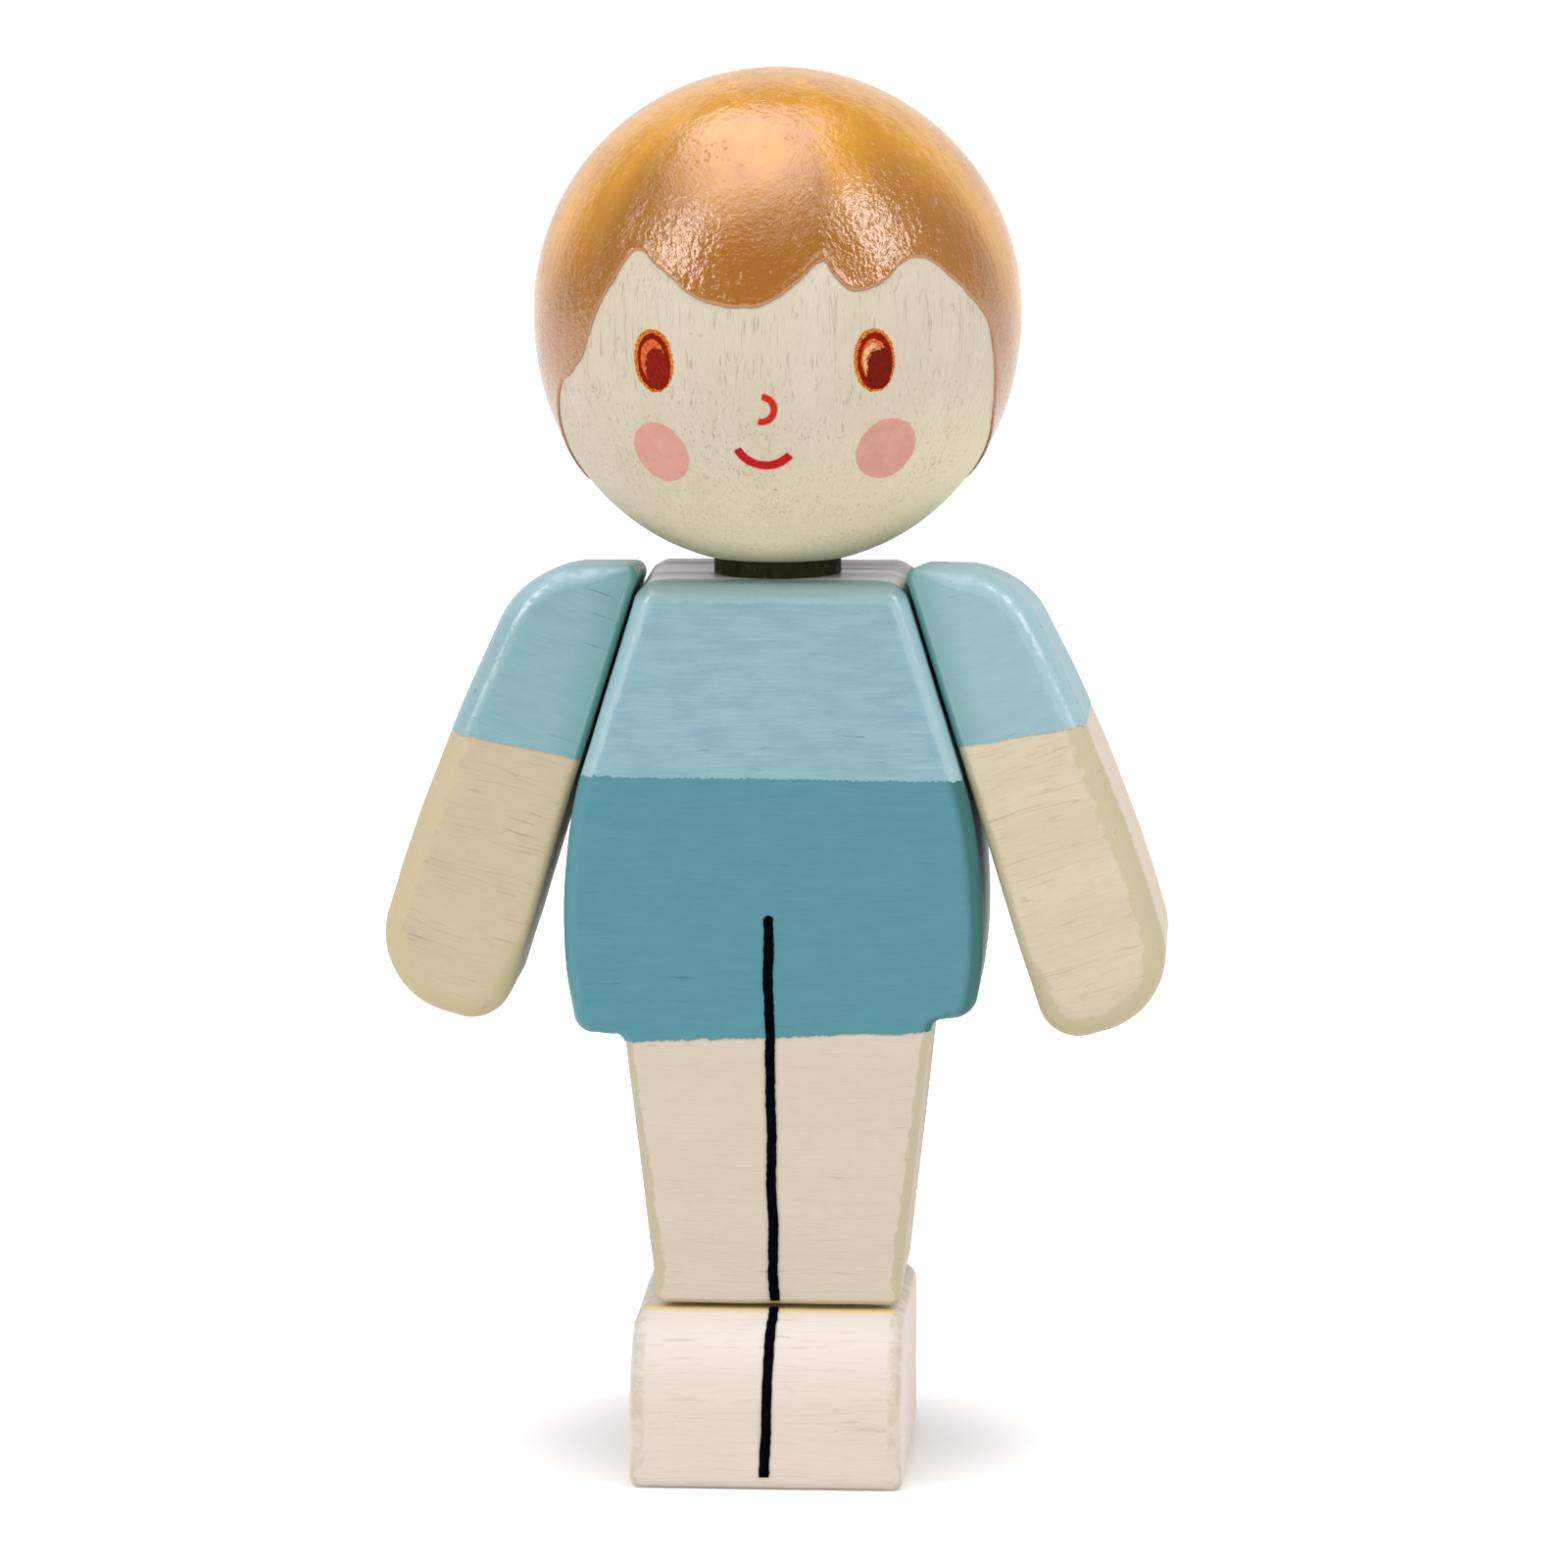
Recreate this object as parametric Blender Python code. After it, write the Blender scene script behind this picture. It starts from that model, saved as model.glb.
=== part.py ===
"""Wooden toy figure of a child, for a dolls' house.

A turned ball head turns on a neck dowel. The body, shorts and legs are one sawn and
rounded block, with a foot block dowelled under it. Each arm lies flat on a slanted side
of the body and swings on a peg.

The figure stands on the XY plane with the neck's axis on Z and faces -Y.
Left and right are the figure's own, so its left is at +X.
"""
import math

import bmesh
import bpy
from mathutils import Matrix, Vector

MM = 0.001

# Clearance between two pieces that touch on the real toy
GAP = 0.3 * MM
# Largest distance between an arc and its chords
CHORD_ERROR = 0.012 * MM
# Steps across the quarter round of a softened edge
EDGE_STEPS = 4

# Foot block, seen from the side: front and back are measured from the neck's axis
FOOT_HEIGHT = 10.2 * MM
FOOT_WIDTH = 16.7 * MM
FOOT_FRONT = 12.8 * MM
FOOT_BACK = 7.75 * MM
TOE_RADIUS = 5.5 * MM
FOOT_EDGE = 1.1 * MM
SOLE_EDGE = 0.8 * MM

# Body block, seen from the front: heights above the ground, widths from side to side,
# and the hem corners measured out from the neck's axis
BODY_THICKNESS = 15.5 * MM
BODY_TOP_Z = 54.8 * MM
SHOULDER_WIDTH = 16.0 * MM
SIDE_SLOPE = math.radians(17.0)
HIP_Z = 36.8 * MM
HIP_RADIUS = 29.0 * MM
HEM_OUT_LEFT = 12.4 * MM
HEM_OUT_RIGHT = 11.85 * MM
HEM_Z_LEFT = 28.3 * MM
HEM_Z_RIGHT = 27.2 * MM
HEM_CORNER_LEFT = 1.5 * MM
HEM_CORNER_RIGHT = 1.2 * MM
HEM_FILLET = 0.7 * MM
LEG_TOP_WIDTH = 18.8 * MM
ANKLE_WIDTH = 14.9 * MM
LEG_OFFSET = 0.45 * MM
BODY_TOP_EDGE = 1.4 * MM
BODY_EDGE = 1.0 * MM
LEG_END_EDGE = 0.5 * MM

# Arm, seen from the front: lengths run down its inner face from the level of the body's top
ARM_THICKNESS = 13.5 * MM
ARM_WIDTH = 8.65 * MM
ARM_LENGTH_LEFT = 29.9 * MM
ARM_LENGTH_RIGHT = 29.1 * MM
ARM_EASE = 6.0 * MM
ARM_FLARE_LEFT = math.radians(10.6)
ARM_FLARE_RIGHT = math.radians(8.6)
ARM_FLARE_LENGTH = 15.0 * MM
SHOULDER_RADIUS = 5.3 * MM
UPPER_ARM_BOW = 85.0 * MM
HAND_OUTER_RADIUS = 5.0 * MM
HAND_INNER_RADIUS = 2.6 * MM
ARM_OUTER_EDGE = 1.7 * MM
ARM_INNER_EDGE = 0.7 * MM

# Head: a turned ball, a little fuller and longer below its widest line
HEAD_DIAMETER = 29.75 * MM
HEAD_RISE = 14.8 * MM
HEAD_DROP = 15.6 * MM
HEAD_TOP_FULLNESS = 2.0
HEAD_BASE_FULLNESS = 2.09
HEAD_RINGS = 26
HEAD_SIDES = 56

# Neck dowel: how much shows between the body and the ball, and its sockets
NECK_DIAMETER = 7.8 * MM
NECK_SHOWN = 0.45 * MM
NECK_SOCKET_IN_BODY = 5.0 * MM
NECK_BORE_IN_HEAD = 10.0 * MM

# Shoulder pegs: glued in the arm, turning in the body
PEG_DIAMETER = 4.0 * MM
PEG_DOWN_ARM = 7.4 * MM
PEG_BORE_IN_BODY = 4.8 * MM
PEG_SOCKET_IN_ARM = 5.0 * MM

# Ankle dowel: glued in the leg and in the foot
ANKLE_DOWEL_DIAMETER = 5.0 * MM
ANKLE_SOCKET_IN_LEG = 6.0 * MM
ANKLE_SOCKET_IN_FOOT = 6.0 * MM

DOWEL_SIDES = 28
DOWEL_CHAMFER = 0.4 * MM

LEFT = 1
RIGHT = -1


def remove_all_objects():
    for obj in list(bpy.data.objects):
        bpy.data.objects.remove(obj, do_unlink=True)


def linear(channel):
    """Turn one 0 to 255 display value into the linear value that a shader takes."""
    value = channel / 255
    if value <= 0.04045:
        return value / 12.92
    return ((value + 0.055) / 1.055) ** 2.4


def wood_or_paint(name, red, green, blue, roughness, metallic=0.0):
    material = bpy.data.materials.new(name)
    material.use_nodes = True
    shader = material.node_tree.nodes["Principled BSDF"]
    shader.inputs["Base Color"].default_value = (linear(red), linear(green), linear(blue), 1)
    shader.inputs["Roughness"].default_value = roughness
    shader.inputs["Metallic"].default_value = metallic
    return material


def link(obj):
    bpy.context.scene.collection.objects.link(obj)
    return obj


def object_from(name, bm, material=None):
    """Close the mesh data of one piece, point its faces outwards and link it."""
    bmesh.ops.remove_doubles(bm, verts=bm.verts, dist=0.0005 * MM)
    bmesh.ops.dissolve_degenerate(bm, edges=bm.edges, dist=0.0005 * MM)
    bmesh.ops.recalc_face_normals(bm, faces=bm.faces)
    mesh = bpy.data.meshes.new(name)
    bm.to_mesh(mesh)
    bm.free()
    if material:
        mesh.materials.append(material)
        mesh.shade_smooth()
        mesh.set_sharp_from_angle(angle=math.radians(40))
    return link(bpy.data.objects.new(name, mesh))


def arc_steps(radius, sweep):
    """Give the number of chords that keeps an arc within the chord error."""
    if radius <= CHORD_ERROR:
        return 1
    step = 2 * math.acos(1 - CHORD_ERROR / radius)
    return max(2, math.ceil(abs(sweep) / step))


def turned(vector, angle):
    return Vector((vector.x * math.cos(angle) - vector.y * math.sin(angle),
                   vector.x * math.sin(angle) + vector.y * math.cos(angle)))


def turn_between(inward, onward):
    """Give the signed angle from one direction to the next, positive anticlockwise."""
    return math.atan2(inward.x * onward.y - inward.y * onward.x, inward.dot(onward))


def fitted_radii(points, radii):
    """Shrink corner radii where two neighbours would need more than the edge between them."""
    count = len(points)
    reaches = []
    for i, radius in enumerate(radii):
        inward = points[i] - points[i - 1]
        onward = points[(i + 1) % count] - points[i]
        reaches.append(radius * math.tan(abs(turn_between(inward, onward)) / 2))
    shares = []
    for i, point in enumerate(points):
        room = (points[(i + 1) % count] - point).length
        needed = reaches[i] + reaches[(i + 1) % count]
        shares.append(min(1, room / needed) if needed else 1)
    return [radius * min(shares[i - 1], shares[i]) for i, radius in enumerate(radii)]


def rounded_outline(corners):
    """Round the corners of a closed polygon that runs clockwise.

    corners: (u, w, corner radius, edge radius) for each corner.
    Returns (point, outward normal, edge radius) along the outline.
    """
    points = [Vector((u, w)) for u, w, radius, edge in corners]
    radii = fitted_radii(points, [corner[2] for corner in corners])
    outline = []
    for i, here in enumerate(points):
        edge = corners[i][3]
        inward = (here - points[i - 1]).normalized()
        onward = (points[(i + 1) % len(points)] - here).normalized()
        normal = turned(inward, math.pi / 2)
        turn = turn_between(inward, onward)
        if abs(turn) < math.radians(0.01):
            outline.append((here, normal, edge))
            continue
        start = here - inward * (radii[i] * math.tan(abs(turn) / 2))
        side = 1 if turn > 0 else -1
        centre = start + normal * (radii[i] * side)
        steps = arc_steps(radii[i], turn)
        for k in range(steps + 1):
            n = turned(normal, turn * k / steps)
            outline.append((centre - n * (radii[i] * side), n, edge))
    return outline


def rounded_slab(outline, thickness):
    """Extrude an outline along Y, with a quarter round on its front and back edges.

    The outline's two values become X and Z. The slab is centred on Y = 0.
    """
    bm = bmesh.new()
    half = thickness / 2
    rings = []
    for face_side in (-1, 1):
        levels = range(EDGE_STEPS + 1)
        if face_side == 1:
            levels = reversed(levels)
        for k in levels:
            angle = math.pi / 2 * k / EDGE_STEPS
            ring = []
            for point, normal, edge in outline:
                flat = point - normal * edge * (1 - math.sin(angle))
                y = face_side * (half - edge * (1 - math.cos(angle)))
                ring.append(bm.verts.new((flat.x, y, flat.y)))
            rings.append(ring)
    count = len(outline)
    for near, far in zip(rings, rings[1:]):
        for i in range(count):
            j = (i + 1) % count
            bm.faces.new((near[i], near[j], far[j], far[i]))
    bm.faces.new(rings[0])
    bm.faces.new(list(reversed(rings[-1])))
    return bm


def dowel(name, diameter, length, chamfer, material=None):
    """Make a round dowel along Z, from Z = 0 up, with chamfered ends."""
    radius = diameter / 2
    bm = bmesh.new()
    levels = [(radius - chamfer, 0), (radius, chamfer),
              (radius, length - chamfer), (radius - chamfer, length)]
    if chamfer == 0:
        levels = [(radius, 0), (radius, length)]
    rings = []
    for ring_radius, z in levels:
        ring = []
        for k in range(DOWEL_SIDES):
            angle = 2 * math.pi * k / DOWEL_SIDES
            ring.append(bm.verts.new((ring_radius * math.cos(angle),
                                      ring_radius * math.sin(angle), z)))
        rings.append(ring)
    for low, high in zip(rings, rings[1:]):
        for k in range(DOWEL_SIDES):
            j = (k + 1) % DOWEL_SIDES
            bm.faces.new((low[k], low[j], high[j], high[k]))
    bm.faces.new(list(reversed(rings[0])))
    bm.faces.new(rings[-1])
    return object_from(name, bm, material)


def drill(block, name, diameter, depth, mouth, direction):
    """Cut a blind round hole into a block.

    mouth: the centre of the hole's mouth, in the block's parent space.
    direction: the way the drill runs.
    """
    overrun = 3 * MM
    cutter = dowel(name, diameter, depth + overrun, 0)
    cutter.rotation_mode = "QUATERNION"
    cutter.rotation_quaternion = direction.to_track_quat("Z", "Y")
    cutter.location = mouth - direction * overrun
    cutter.hide_render = True
    cutter.display_type = "WIRE"
    cut = block.modifiers.new(name, "BOOLEAN")
    cut.operation = "DIFFERENCE"
    cut.solver = "EXACT"
    cut.object = cutter
    return cutter


def body_side(side):
    """List the body outline's corners on one side, from the top down."""
    hem_out, hem_z, hem_corner = HEM_OUT_RIGHT, HEM_Z_RIGHT, HEM_CORNER_RIGHT
    if side == LEFT:
        hem_out, hem_z, hem_corner = HEM_OUT_LEFT, HEM_Z_LEFT, HEM_CORNER_LEFT
    leg_end_z = FOOT_HEIGHT + GAP
    hip_x = SHOULDER_WIDTH / 2 + (BODY_TOP_Z - HIP_Z) * math.tan(SIDE_SLOPE)
    leg_top = Vector((LEG_TOP_WIDTH / 2 + side * LEG_OFFSET, hem_z))
    leg_end = Vector((ANKLE_WIDTH / 2 + side * LEG_OFFSET, leg_end_z))
    above_end = leg_end.lerp(leg_top, 3 * LEG_END_EDGE / (hem_z - leg_end_z))
    corners = [
        (SHOULDER_WIDTH / 2, BODY_TOP_Z, BODY_TOP_EDGE, BODY_TOP_EDGE),
        (hip_x, HIP_Z, HIP_RADIUS, BODY_EDGE),
        (hem_out, hem_z, hem_corner, BODY_EDGE),
        (leg_top.x, leg_top.y, HEM_FILLET, BODY_EDGE),
        (above_end.x, above_end.y, 0, BODY_EDGE),
        (leg_end.x, leg_end.y, LEG_END_EDGE, LEG_END_EDGE),
    ]
    return [(side * x, z, radius, edge) for x, z, radius, edge in corners]


def shoulder_pivot(side):
    """Give the point where a peg's axis crosses the body's slanted side."""
    return Vector((side * (SHOULDER_WIDTH / 2 + PEG_DOWN_ARM * math.sin(SIDE_SLOPE)), 0,
                   BODY_TOP_Z - PEG_DOWN_ARM * math.cos(SIDE_SLOPE)))


def outwards(side):
    """Give the direction square to the body's slanted side."""
    return Vector((side * math.cos(SIDE_SLOPE), 0, math.sin(SIDE_SLOPE)))


def build_body(material):
    corners = body_side(LEFT) + list(reversed(body_side(RIGHT)))
    body = object_from("body_block", rounded_slab(rounded_outline(corners), BODY_THICKNESS),
                       material)
    top = Vector((0, 0, BODY_TOP_Z))
    drill(body, "neck_socket_cutter", NECK_DIAMETER + 2 * GAP, NECK_SOCKET_IN_BODY, top,
          Vector((0, 0, -1)))
    leg_end = Vector((0, 0, FOOT_HEIGHT + GAP))
    drill(body, "leg_socket_cutter", ANKLE_DOWEL_DIAMETER + 2 * GAP, ANKLE_SOCKET_IN_LEG,
          leg_end, Vector((0, 0, 1)))
    for side, side_name in ((LEFT, "left"), (RIGHT, "right")):
        drill(body, "peg_bore_cutter_" + side_name, PEG_DIAMETER + 2 * GAP, PEG_BORE_IN_BODY,
              shoulder_pivot(side), -outwards(side))
    return body


def build_foot(material):
    """Make the foot block from its side view, which runs from toe to heel."""
    above_sole = 2 * SOLE_EDGE
    corners = [
        (FOOT_FRONT, 0, SOLE_EDGE, SOLE_EDGE),
        (-FOOT_BACK, 0, SOLE_EDGE, SOLE_EDGE),
        (-FOOT_BACK, above_sole, 0, FOOT_EDGE),
        (-FOOT_BACK, FOOT_HEIGHT, FOOT_EDGE, FOOT_EDGE),
        (FOOT_FRONT, FOOT_HEIGHT, TOE_RADIUS, FOOT_EDGE),
        (FOOT_FRONT, above_sole, 0, FOOT_EDGE),
    ]
    foot = object_from("foot_block", rounded_slab(rounded_outline(corners), FOOT_WIDTH),
                       material)
    foot.rotation_euler.z = math.radians(-90)
    drill(foot, "foot_socket_cutter", ANKLE_DOWEL_DIAMETER + 2 * GAP, ANKLE_SOCKET_IN_FOOT,
          Vector((0, 0, FOOT_HEIGHT)), Vector((0, 0, -1)))
    return foot


def arm_corners(side):
    """List the arm outline's corners, around the peg's axis, with its length along -Z.

    The arm's top is level, so it slants in the arm's own axes.
    """
    length = ARM_LENGTH_LEFT if side == LEFT else ARM_LENGTH_RIGHT
    lean = math.tan(SIDE_SLOPE)
    flare = math.tan(ARM_FLARE_LEFT if side == LEFT else ARM_FLARE_RIGHT)
    top_inner = GAP * lean
    outer_start = ARM_WIDTH - ARM_FLARE_LENGTH * flare
    top_outer = (top_inner + lean * outer_start) / (1 - lean * flare)
    corners = [
        (0, top_inner, ARM_INNER_EDGE, ARM_INNER_EDGE),
        (outer_start + flare * top_outer, top_outer, SHOULDER_RADIUS, ARM_OUTER_EDGE),
        (ARM_WIDTH, ARM_FLARE_LENGTH, UPPER_ARM_BOW, ARM_OUTER_EDGE),
        (ARM_WIDTH, length, HAND_OUTER_RADIUS, ARM_OUTER_EDGE),
        (0, length, HAND_INNER_RADIUS, ARM_OUTER_EDGE),
        (0, length - ARM_EASE, 0, ARM_INNER_EDGE),
    ]
    if side == RIGHT:
        corners = list(reversed(corners))
    return [(side * (out + GAP), PEG_DOWN_ARM - down, radius, edge)
            for out, down, radius, edge in corners]


def build_arm(side, side_name, wood, peg_wood):
    """Make one arm and its peg, with their origins where the peg meets the body."""
    slope = Matrix.Rotation(-side * SIDE_SLOPE, 4, "Y")
    slab = rounded_slab(rounded_outline(arm_corners(side)), ARM_THICKNESS)
    arm = object_from("arm_" + side_name, slab, wood)
    arm.matrix_world = Matrix.Translation(shoulder_pivot(side)) @ slope
    mouth = shoulder_pivot(side) + outwards(side) * GAP
    drill(arm, "peg_socket_cutter_" + side_name, PEG_DIAMETER + 2 * GAP, PEG_SOCKET_IN_ARM,
          mouth, outwards(side))
    inner_end = -(PEG_BORE_IN_BODY - GAP)
    outer_end = GAP + PEG_SOCKET_IN_ARM - GAP
    peg = dowel("shoulder_peg_" + side_name, PEG_DIAMETER, outer_end - inner_end,
                DOWEL_CHAMFER, peg_wood)
    peg.data.transform(Matrix.Translation((0, 0, inner_end)))
    peg.rotation_mode = "QUATERNION"
    peg.rotation_quaternion = outwards(side).to_track_quat("Z", "Y")
    peg.location = shoulder_pivot(side)
    return arm, peg


def head_centre_z():
    return BODY_TOP_Z + NECK_SHOWN + HEAD_DROP


def build_head(material):
    """Turn the ball about Z from a profile that is a little fuller than a half circle."""
    bm = bmesh.new()
    radius = HEAD_DIAMETER / 2
    rings = []
    for k in range(1, HEAD_RINGS):
        angle = math.pi / 2 - math.pi * k / HEAD_RINGS
        fullness = HEAD_TOP_FULLNESS if angle > 0 else HEAD_BASE_FULLNESS
        height = HEAD_RISE if angle > 0 else HEAD_DROP
        out = radius * math.cos(angle) ** (2 / fullness)
        z = math.copysign(height * abs(math.sin(angle)) ** (2 / fullness), angle)
        ring = []
        for j in range(HEAD_SIDES):
            turn = 2 * math.pi * j / HEAD_SIDES
            ring.append(bm.verts.new((out * math.cos(turn), out * math.sin(turn), z)))
        rings.append(ring)
    crown = bm.verts.new((0, 0, HEAD_RISE))
    base = bm.verts.new((0, 0, -HEAD_DROP))
    for j in range(HEAD_SIDES):
        i = (j + 1) % HEAD_SIDES
        bm.faces.new((crown, rings[0][j], rings[0][i]))
        for upper, lower in zip(rings, rings[1:]):
            bm.faces.new((upper[j], lower[j], lower[i], upper[i]))
        bm.faces.new((base, rings[-1][i], rings[-1][j]))
    head = object_from("head_ball", bm, material)
    head.location.z = head_centre_z()
    drill(head, "head_bore_cutter", NECK_DIAMETER + 2 * GAP, NECK_BORE_IN_HEAD,
          Vector((0, 0, head_centre_z() - HEAD_DROP)), Vector((0, 0, 1)))
    return head


def build_neck(material):
    """Make the neck dowel, which stands in the body and ends under the top of the bore."""
    low = BODY_TOP_Z - NECK_SOCKET_IN_BODY + GAP
    high = head_centre_z() - HEAD_DROP + NECK_BORE_IN_HEAD - GAP
    neck = dowel("neck_dowel", NECK_DIAMETER, high - low, DOWEL_CHAMFER, material)
    neck.location.z = low
    return neck


def build_ankle_dowel(material):
    low = FOOT_HEIGHT - ANKLE_SOCKET_IN_FOOT + GAP
    high = FOOT_HEIGHT + GAP + ANKLE_SOCKET_IN_LEG - GAP
    ankle = dowel("ankle_dowel", ANKLE_DOWEL_DIAMETER, high - low, DOWEL_CHAMFER, material)
    ankle.location.z = low
    return ankle


def main():
    remove_all_objects()
    painted_body = wood_or_paint("shorts_paint", 96, 150, 162, 0.4)
    sleeve_paint = wood_or_paint("sleeve_paint", 150, 193, 200, 0.4)
    face_wash = wood_or_paint("face_wash", 214, 214, 184, 0.5)
    limed_wood = wood_or_paint("limed_wood", 226, 214, 202, 0.6)
    neck_stain = wood_or_paint("neck_stain", 72, 66, 50, 0.6)
    bare_dowel = wood_or_paint("bare_dowel", 205, 186, 150, 0.65)
    build_body(painted_body)
    build_foot(limed_wood)
    build_ankle_dowel(bare_dowel)
    build_neck(neck_stain)
    build_head(face_wash)
    for side, side_name in ((LEFT, "left"), (RIGHT, "right")):
        build_arm(side, side_name, sleeve_paint, bare_dowel)


main()
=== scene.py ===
"""Dresses the wooden toy figure: sawn and turned wood, painted clothes, hair and face.

The blocks are modelled again over the plain solids, with rounded edges and a slightly
uneven surface. Paint lies on them as thin coats with brushed borders. Lengths are written
in millimetres and turned into metres with MM. The figure faces -Y, and left and right are
its own, so its left is at +X.
"""
import logging
import math
from contextlib import contextmanager
from dataclasses import dataclass, field
from enum import Enum
from functools import reduce
from typing import Callable, Iterator

import bmesh
import bpy
from mathutils import Matrix, Vector, noise


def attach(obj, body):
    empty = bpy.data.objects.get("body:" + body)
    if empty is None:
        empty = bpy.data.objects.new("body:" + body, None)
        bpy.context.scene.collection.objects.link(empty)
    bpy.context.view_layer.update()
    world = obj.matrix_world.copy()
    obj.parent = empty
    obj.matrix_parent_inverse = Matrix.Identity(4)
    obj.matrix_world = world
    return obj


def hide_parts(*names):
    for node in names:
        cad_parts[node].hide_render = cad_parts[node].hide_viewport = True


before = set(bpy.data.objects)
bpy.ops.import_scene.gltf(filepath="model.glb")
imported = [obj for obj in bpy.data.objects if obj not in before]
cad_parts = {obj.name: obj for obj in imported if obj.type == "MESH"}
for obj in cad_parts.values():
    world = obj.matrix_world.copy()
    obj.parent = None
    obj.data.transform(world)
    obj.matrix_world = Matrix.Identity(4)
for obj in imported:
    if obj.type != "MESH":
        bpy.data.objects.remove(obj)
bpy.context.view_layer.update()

MM = 0.001
# The clearance between touching pieces
GAP = 0.3
# Flat shapes for the front are drawn on the plane at this Y, and then laid on the wood
DRAWING_Y = -20.0
# Turns a pattern's grain from along X to upright
UPRIGHT = (0, math.pi / 2, 0)
LOG = logging.getLogger("toy_figure")

Socket = bpy.types.NodeSocket
Sockets = bpy.types.bpy_prop_collection
Material = bpy.types.Material
Piece = bpy.types.Object
Colour = tuple[int, int, int]
Point = tuple[float, float]


class Side(Enum):
    """The figure's own left and right, with the sign of X there."""

    LEFT = 1
    RIGHT = -1

    @property
    def word(self) -> str:
        """The side's word in a piece's name."""
        return self.name.lower()


def tint(colour: Colour) -> tuple[float, ...]:
    """Turns a colour read off a screen into the linear one that a shader takes.

    Args:
        colour: Red, green and blue, from 0 to 255.

    Returns:
        The linear colour with full alpha.
    """
    linear = []
    for channel in colour:
        value = channel / 255
        linear.append(value / 12.92 if value <= 0.04045 else ((value + 0.055) / 1.055) ** 2.4)
    return (*linear, 1.0)


def pick(piece: Piece) -> None:
    """Makes one object the only selected and active one.

    Args:
        piece: The object.
    """
    bpy.ops.object.select_all(action="DESELECT")
    piece.select_set(True)
    bpy.context.view_layer.objects.active = piece


@contextmanager
def editing(piece: Piece, mode: str = "VERT") -> Iterator[None]:
    """Opens a piece in edit mode with nothing selected, and closes it again.

    Args:
        piece: The mesh object.
        mode: What is selected there: VERT, EDGE or FACE.
    """
    pick(piece)
    bpy.ops.object.mode_set(mode="EDIT")
    bpy.ops.mesh.select_mode(type=mode)
    bpy.ops.mesh.select_all(action="DESELECT")
    yield
    bpy.ops.object.mode_set(mode="OBJECT")


def choose(piece: Piece, kind: str, test: Callable[..., bool]) -> None:
    """Selects the elements of the open piece that pass a test, and no others.

    Args:
        piece: The mesh object, in edit mode.
        kind: The elements: verts, edges or faces.
        test: Says whether one element is wanted.
    """
    mesh = bmesh.from_edit_mesh(piece.data)
    bpy.ops.mesh.select_all(action="DESELECT")
    for element in getattr(mesh, kind):
        if test(element):
            element.select_set(True)
    mesh.select_flush_mode()
    bmesh.update_edit_mesh(piece.data)


def choose_all() -> None:
    """Selects the whole of the open piece."""
    bpy.ops.mesh.select_all(action="SELECT")


def extrude(step: object = (0, 0, 0)) -> None:
    """Extrudes what is selected, and moves the new part by a step in metres."""
    bpy.ops.mesh.extrude_region_move(TRANSFORM_OT_translate={"value": step})


def settle(piece: Piece) -> None:
    """Moves an object's place, turn and scale into its mesh."""
    pick(piece)
    bpy.ops.object.transform_apply(location=True, rotation=True, scale=True)


def add_piece(name: str, primitive: Callable[..., set], **settings: object) -> Piece:
    """Adds a primitive as a new piece.

    Args:
        name: The piece's name.
        primitive: The operator that adds the primitive.
        settings: The operator's values.

    Returns:
        The piece, with its place and turn in its mesh.
    """
    bpy.ops.object.select_all(action="DESELECT")
    primitive(**settings)
    piece = bpy.context.object
    piece.name = piece.data.name = name
    settle(piece)
    return piece


def apply_modifier(piece: Piece, kind: str, **settings: object) -> None:
    """Adds one modifier and applies it.

    Args:
        piece: The mesh object.
        kind: The modifier's type, such as SOLIDIFY.
        settings: Its values.
    """
    pick(piece)
    modifier = piece.modifiers.new(kind.lower(), kind)
    for name, value in settings.items():
        setattr(modifier, name, value)
    bpy.ops.object.modifier_apply(modifier=modifier.name)


def smooth(piece: Piece, degrees: float = 60.0) -> None:
    """Shades a piece smooth, apart from its edges that turn by more than an angle."""
    pick(piece)
    bpy.ops.object.shade_smooth_by_angle(angle=math.radians(degrees))


def tidy_normals(piece: Piece) -> None:
    """Merges doubled points and turns every face outwards.

    Args:
        piece: The closed mesh.
    """
    with editing(piece):
        choose_all()
        bpy.ops.mesh.remove_doubles(threshold=0.002 * MM)
        bpy.ops.mesh.dissolve_degenerate(threshold=0.001 * MM)
        choose_all()
        bpy.ops.mesh.normals_make_consistent(inside=False)


def face_forward(piece: Piece) -> None:
    """Turns a thin sheet's faces towards -Y.

    Args:
        piece: The sheet.
    """
    with editing(piece, "FACE"):
        choose_all()
        bpy.ops.mesh.normals_make_consistent(inside=False)
        mesh = bmesh.from_edit_mesh(piece.data)
        if sum(face.normal.y * face.calc_area() for face in mesh.faces) > 0:
            bpy.ops.mesh.flip_normals()


def make_wavy(piece: Piece, depth: float, size: float, detail: int) -> None:
    """Makes a surface slightly uneven, as hand-sanded wood is.

    Args:
        piece: The wooden piece.
        depth: The depth of the waves, in millimetres.
        size: Their width, in millimetres.
        detail: How many finer waves lie on them.
    """
    texture = bpy.data.textures.new(piece.name + "_waves", "CLOUDS")
    texture.noise_scale = size * MM
    texture.noise_depth = detail
    apply_modifier(piece, "DISPLACE", texture=texture, texture_coords="LOCAL",
                   strength=depth * MM, mid_level=0.5)


def thicken_sheet(piece: Piece, thickness: float) -> None:
    """Gives a thin sheet of paint its thickness on both sides, in millimetres."""
    apply_modifier(piece, "SOLIDIFY", thickness=thickness * MM, offset=0.0, use_rim=True)
    smooth(piece)


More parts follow.
